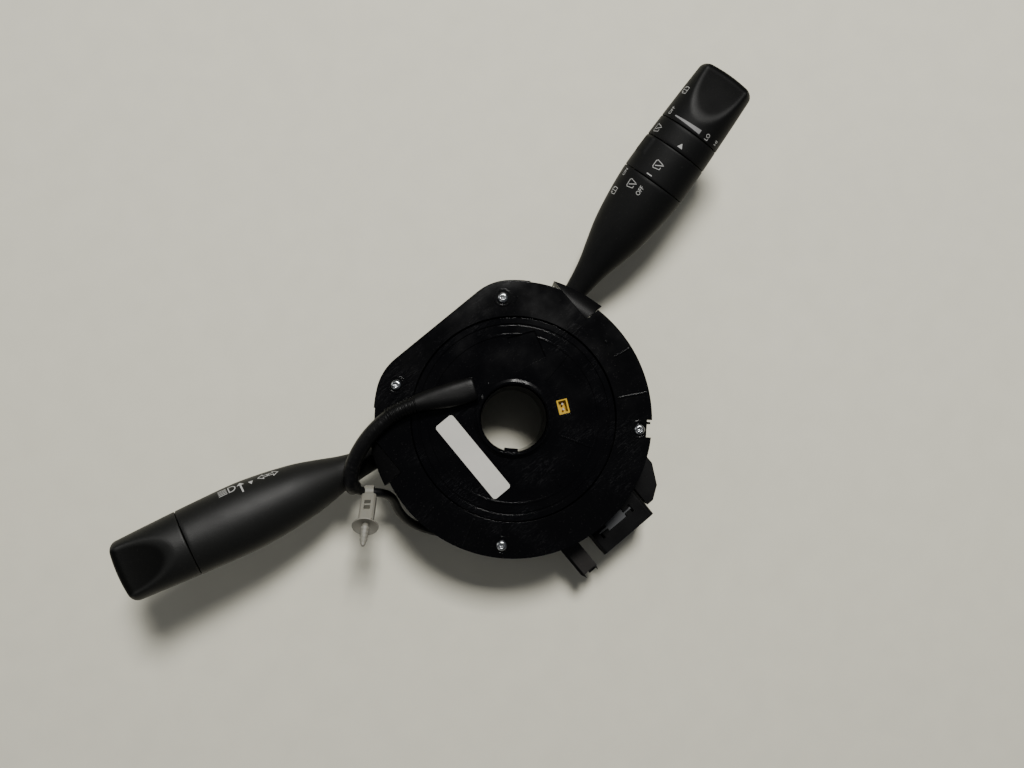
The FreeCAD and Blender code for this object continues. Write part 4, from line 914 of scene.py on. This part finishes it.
def end_tree(tree, instances, material, group_out):
    """Makes the instances real, gives them their material and sends them out of the tree."""
    real = add(tree, "GeometryNodeRealizeInstances", {"Geometry": instances})
    painted = add(tree, "GeometryNodeSetMaterial", {"Geometry": real.outputs["Geometry"],
                                                    "Material": material})
    tree.links.new(painted.outputs["Geometry"], group_out.inputs["Geometry"])


def grown(source, tree, sockets, values, name):
    """Runs a tree on an object, and returns the result as a plain mesh object."""
    modifier = source.modifiers.new(tree.name, "NODES")
    modifier.node_group = tree
    for title, value in values.items():
        modifier[sockets[title]] = value
    mesh = plain_mesh(source, name)
    bpy.data.objects.remove(source)
    mesh.shade_smooth()
    return link(bpy.data.objects.new(name, mesh))


RIB_INPUTS = [("Ribs", WHOLE, 9), ("Ring radius", FLOAT, 0.004), ("Rib radius", FLOAT, 0.0005),
              ("Material", PAINT, None)]
ribs_tree, r_in, r_out, rib_sockets = geometry_tree("ribs_along_path", RIB_INPUTS)
resample = add(ribs_tree, "GeometryNodeResampleCurve", {"Curve": r_in.outputs["Geometry"],
                                                        "Count": r_in.outputs["Ribs"]})
direction = add(ribs_tree, "GeometryNodeInputTangent")
facing = add(ribs_tree, "FunctionNodeAlignRotationToVector", {"Vector": direction.outputs["Tangent"]},
             axis="Z")
hoop = add(ribs_tree, "GeometryNodeCurvePrimitiveCircle", {"Resolution": HOOP_POINTS,
                                                           "Radius": r_in.outputs["Ring radius"]})
wire = add(ribs_tree, "GeometryNodeCurvePrimitiveCircle", {"Resolution": WIRE_POINTS,
                                                           "Radius": r_in.outputs["Rib radius"]})
rib = add(ribs_tree, "GeometryNodeCurveToMesh", {"Curve": hoop.outputs["Curve"],
                                                 "Profile Curve": wire.outputs["Curve"]})
rings = add(ribs_tree, "GeometryNodeInstanceOnPoints", {"Points": resample.outputs["Curve"],
                                                        "Instance": rib.outputs["Mesh"],
                                                        "Rotation": facing.outputs["Rotation"]})
end_tree(ribs_tree, rings.outputs["Instances"], r_in.outputs["Material"], r_out)

rib_path = route_curve("rib_path", SLEEVE_ROUTE[:3])
sleeve_ribs = grown(rib_path, ribs_tree, rib_sockets,
                    {"Ribs": RIB_COUNT, "Ring radius": SLEEVE_RADIUS - RIB_SINK, "Rib radius": RIB_RADIUS,
                     "Material": boot_rubber}, "sleeve_ribs")
dress(sleeve_ribs, "rotor", boot_rubber, "lead_rubber")
print("ribs:", len(sleeve_ribs.data.polygons), "faces")

# %% [markdown]
# ## Screws
# Seven bright pan-head screws hold the covers, four from the front and three from the back. One
# screw is turned from a profile, with a six-lobed socket pressed into its head, and a tree puts
# it on each place with its own turn, because nobody stops seven screws at the same angle.
# %% One screw, turned from its profile
PLATE_TOP, COVER_BOTTOM = 49.0, 2.0
FRONT_SCREWS = ((33.2, 48.3), (-33.2, 48.3), (43.1, -42.7), (-43.1, -42.7))
COVER_SCREW_CIRCLE, COVER_SCREW_ANGLES, COVER_SCREW_SIZE = 40.0, (30, 150, 270), 0.88
SCREW_PROFILE = ((0.35, -13.0), (1.15, -12.0), (1.15, 0.0), (2.45, 0.0), (2.6, 0.12), (2.6, 0.62),
                 (2.5, 0.95), (2.2, 1.3), (1.75, 1.58), (1.35, 1.7))
SOCKET_RIM, SOCKET_DEPTH, SOCKET_RADIUS, SOCKET_TAPER = 1.66, 1.0, 1.02, 0.94
LOBES, LOBE_SWING = 6, 0.13
SCREW_AROUND = 48
ANY_TURN = 6.28


def screw_form(name):
    bm = bmesh.new()
    rings = []
    rows = [(r, z, 0) for r, z in SCREW_PROFILE]
    rows += [(SOCKET_RADIUS, SOCKET_RIM, 1), (SOCKET_RADIUS * SOCKET_TAPER, SOCKET_RIM - SOCKET_DEPTH, 1)]
    for radius, z, lobed in rows:
        ring = []
        for k in range(SCREW_AROUND):
            a = 2 * math.pi * k / SCREW_AROUND
            r = radius * (1 + LOBE_SWING * math.cos(LOBES * a) * lobed)
            ring.append(bm.verts.new((r * math.cos(a) * MM, r * math.sin(a) * MM, z * MM)))
        rings.append(ring)
    stitch(bm, rings)
    bm.faces.new(rings[0][::-1])
    bm.faces.new(rings[-1])
    return mesh_object(name, bm)


SCREW_INPUTS = [("Screw", "NodeSocketObject", None), ("Size", FLOAT, 1.0), ("Seed", WHOLE, 3),
                ("Material", PAINT, None)]
screw_tree, c_in, c_out, screw_sockets = geometry_tree("screws_on_points", SCREW_INPUTS)
one_screw = add(screw_tree, "GeometryNodeObjectInfo", {"Object": c_in.outputs["Screw"]})
any_turn = add(screw_tree, "FunctionNodeRandomValue", {"Max": ANY_TURN, "Seed": c_in.outputs["Seed"]},
               data_type="FLOAT")
upright = add(screw_tree, "ShaderNodeCombineXYZ", {"Z": any_turn.outputs[1]})
heads = add(screw_tree, "GeometryNodeInstanceOnPoints", {"Points": c_in.outputs["Geometry"],
                                                         "Instance": one_screw.outputs["Geometry"],
                                                         "Rotation": upright.outputs["Vector"],
                                                         "Scale": c_in.outputs["Size"]})
end_tree(screw_tree, heads.outputs["Instances"], c_in.outputs["Material"], c_out)
one = screw_form("one_screw")


def screws_at(name, places, size, seed):
    """Screws on places given in millimetres, as one mesh object."""
    mesh = bpy.data.meshes.new(name + "_points")
    mesh.from_pydata([Vector(p) * MM for p in places], [], [])
    points = link(bpy.data.objects.new(name + "_points", mesh))
    return grown(points, screw_tree, screw_sockets,
                 {"Screw": one, "Size": size, "Seed": seed, "Material": zinc}, name)


front_screws = screws_at("plate_screws", [(x, y, PLATE_TOP) for x, y in FRONT_SCREWS], size=1.0, seed=3)
dress(front_screws, "carrier", zinc, "zinc_steel", "front_cover_screws")
print("front screws:", len(front_screws.data.polygons), "faces")

# %% Screws of the rear cover, turned over
rear_places = [(COVER_SCREW_CIRCLE * math.cos(math.radians(a)),
                -COVER_SCREW_CIRCLE * math.sin(math.radians(a)), 0) for a in COVER_SCREW_ANGLES]
rear_screws = screws_at("cover_screws", rear_places, size=COVER_SCREW_SIZE, seed=8)
turn_over = Matrix.Translation((0, 0, COVER_BOTTOM * MM)) @ Matrix.Rotation(math.pi, 4, "X")
rear_screws.data.transform(turn_over)
dress(rear_screws, "carrier", zinc, "zinc_steel", "rear_cover_screws")
bpy.data.objects.remove(one)
print("rear screws:", len(rear_screws.data.polygons), "faces")

# %% [markdown]
# ## The remaining CAD pieces
# The gears, pins, ribbon, board and plug are already right in shape. They keep their CAD mesh and
# only get the finish of the real material, by their record slot.
# %% Finishes for the CAD nodes
BY_SLOT = {"cover_gloss": cover_gloss, "rotor_gloss": rotor_gloss, "carrier_plastic": carrier_black,
           "hood_plastic": hood_satin, "zinc_steel": zinc, "brass": brass, "board": board_green,
           "ribbon_film": ribbon_film, "terminal_plastic": terminal_black, "lock_grey": lock_grey,
           "pin_metal": tinned, "header_brown": header_brown, "natural_acetal": acetal,
           "magnet": magnet_grey, "socket_yellow": socket_yellow, "label_film": label_film,
           "lead_rubber": boot_rubber, "lead_sleeving": lead_sleeving, "cable_jacket": cable_black,
           "natural_nylon": nylon, "pin_steel": steel, "arm_plastic": arm_plastic,
           "lever_charcoal": lever_charcoal, "lever_black": lever_black}
slot_of = {entry["node"]: entry["material_slot"] for entry in frame["record"]["subparts"]}
for node_name, obj in frame["nodes"].items():
    wanted = BY_SLOT.get(slot_of.get(node_name))
    if wanted and not obj.hide_render:
        for material_slot in obj.material_slots:
            material_slot.material = wanted
print("nodes with a slot:", len(slot_of))

# %% [markdown]
# ## The cords
# The sleeve and the cable are free cords. The clip and the plug are pieces on the cable.
# %% Cords
print("sleeve and cable are cords")
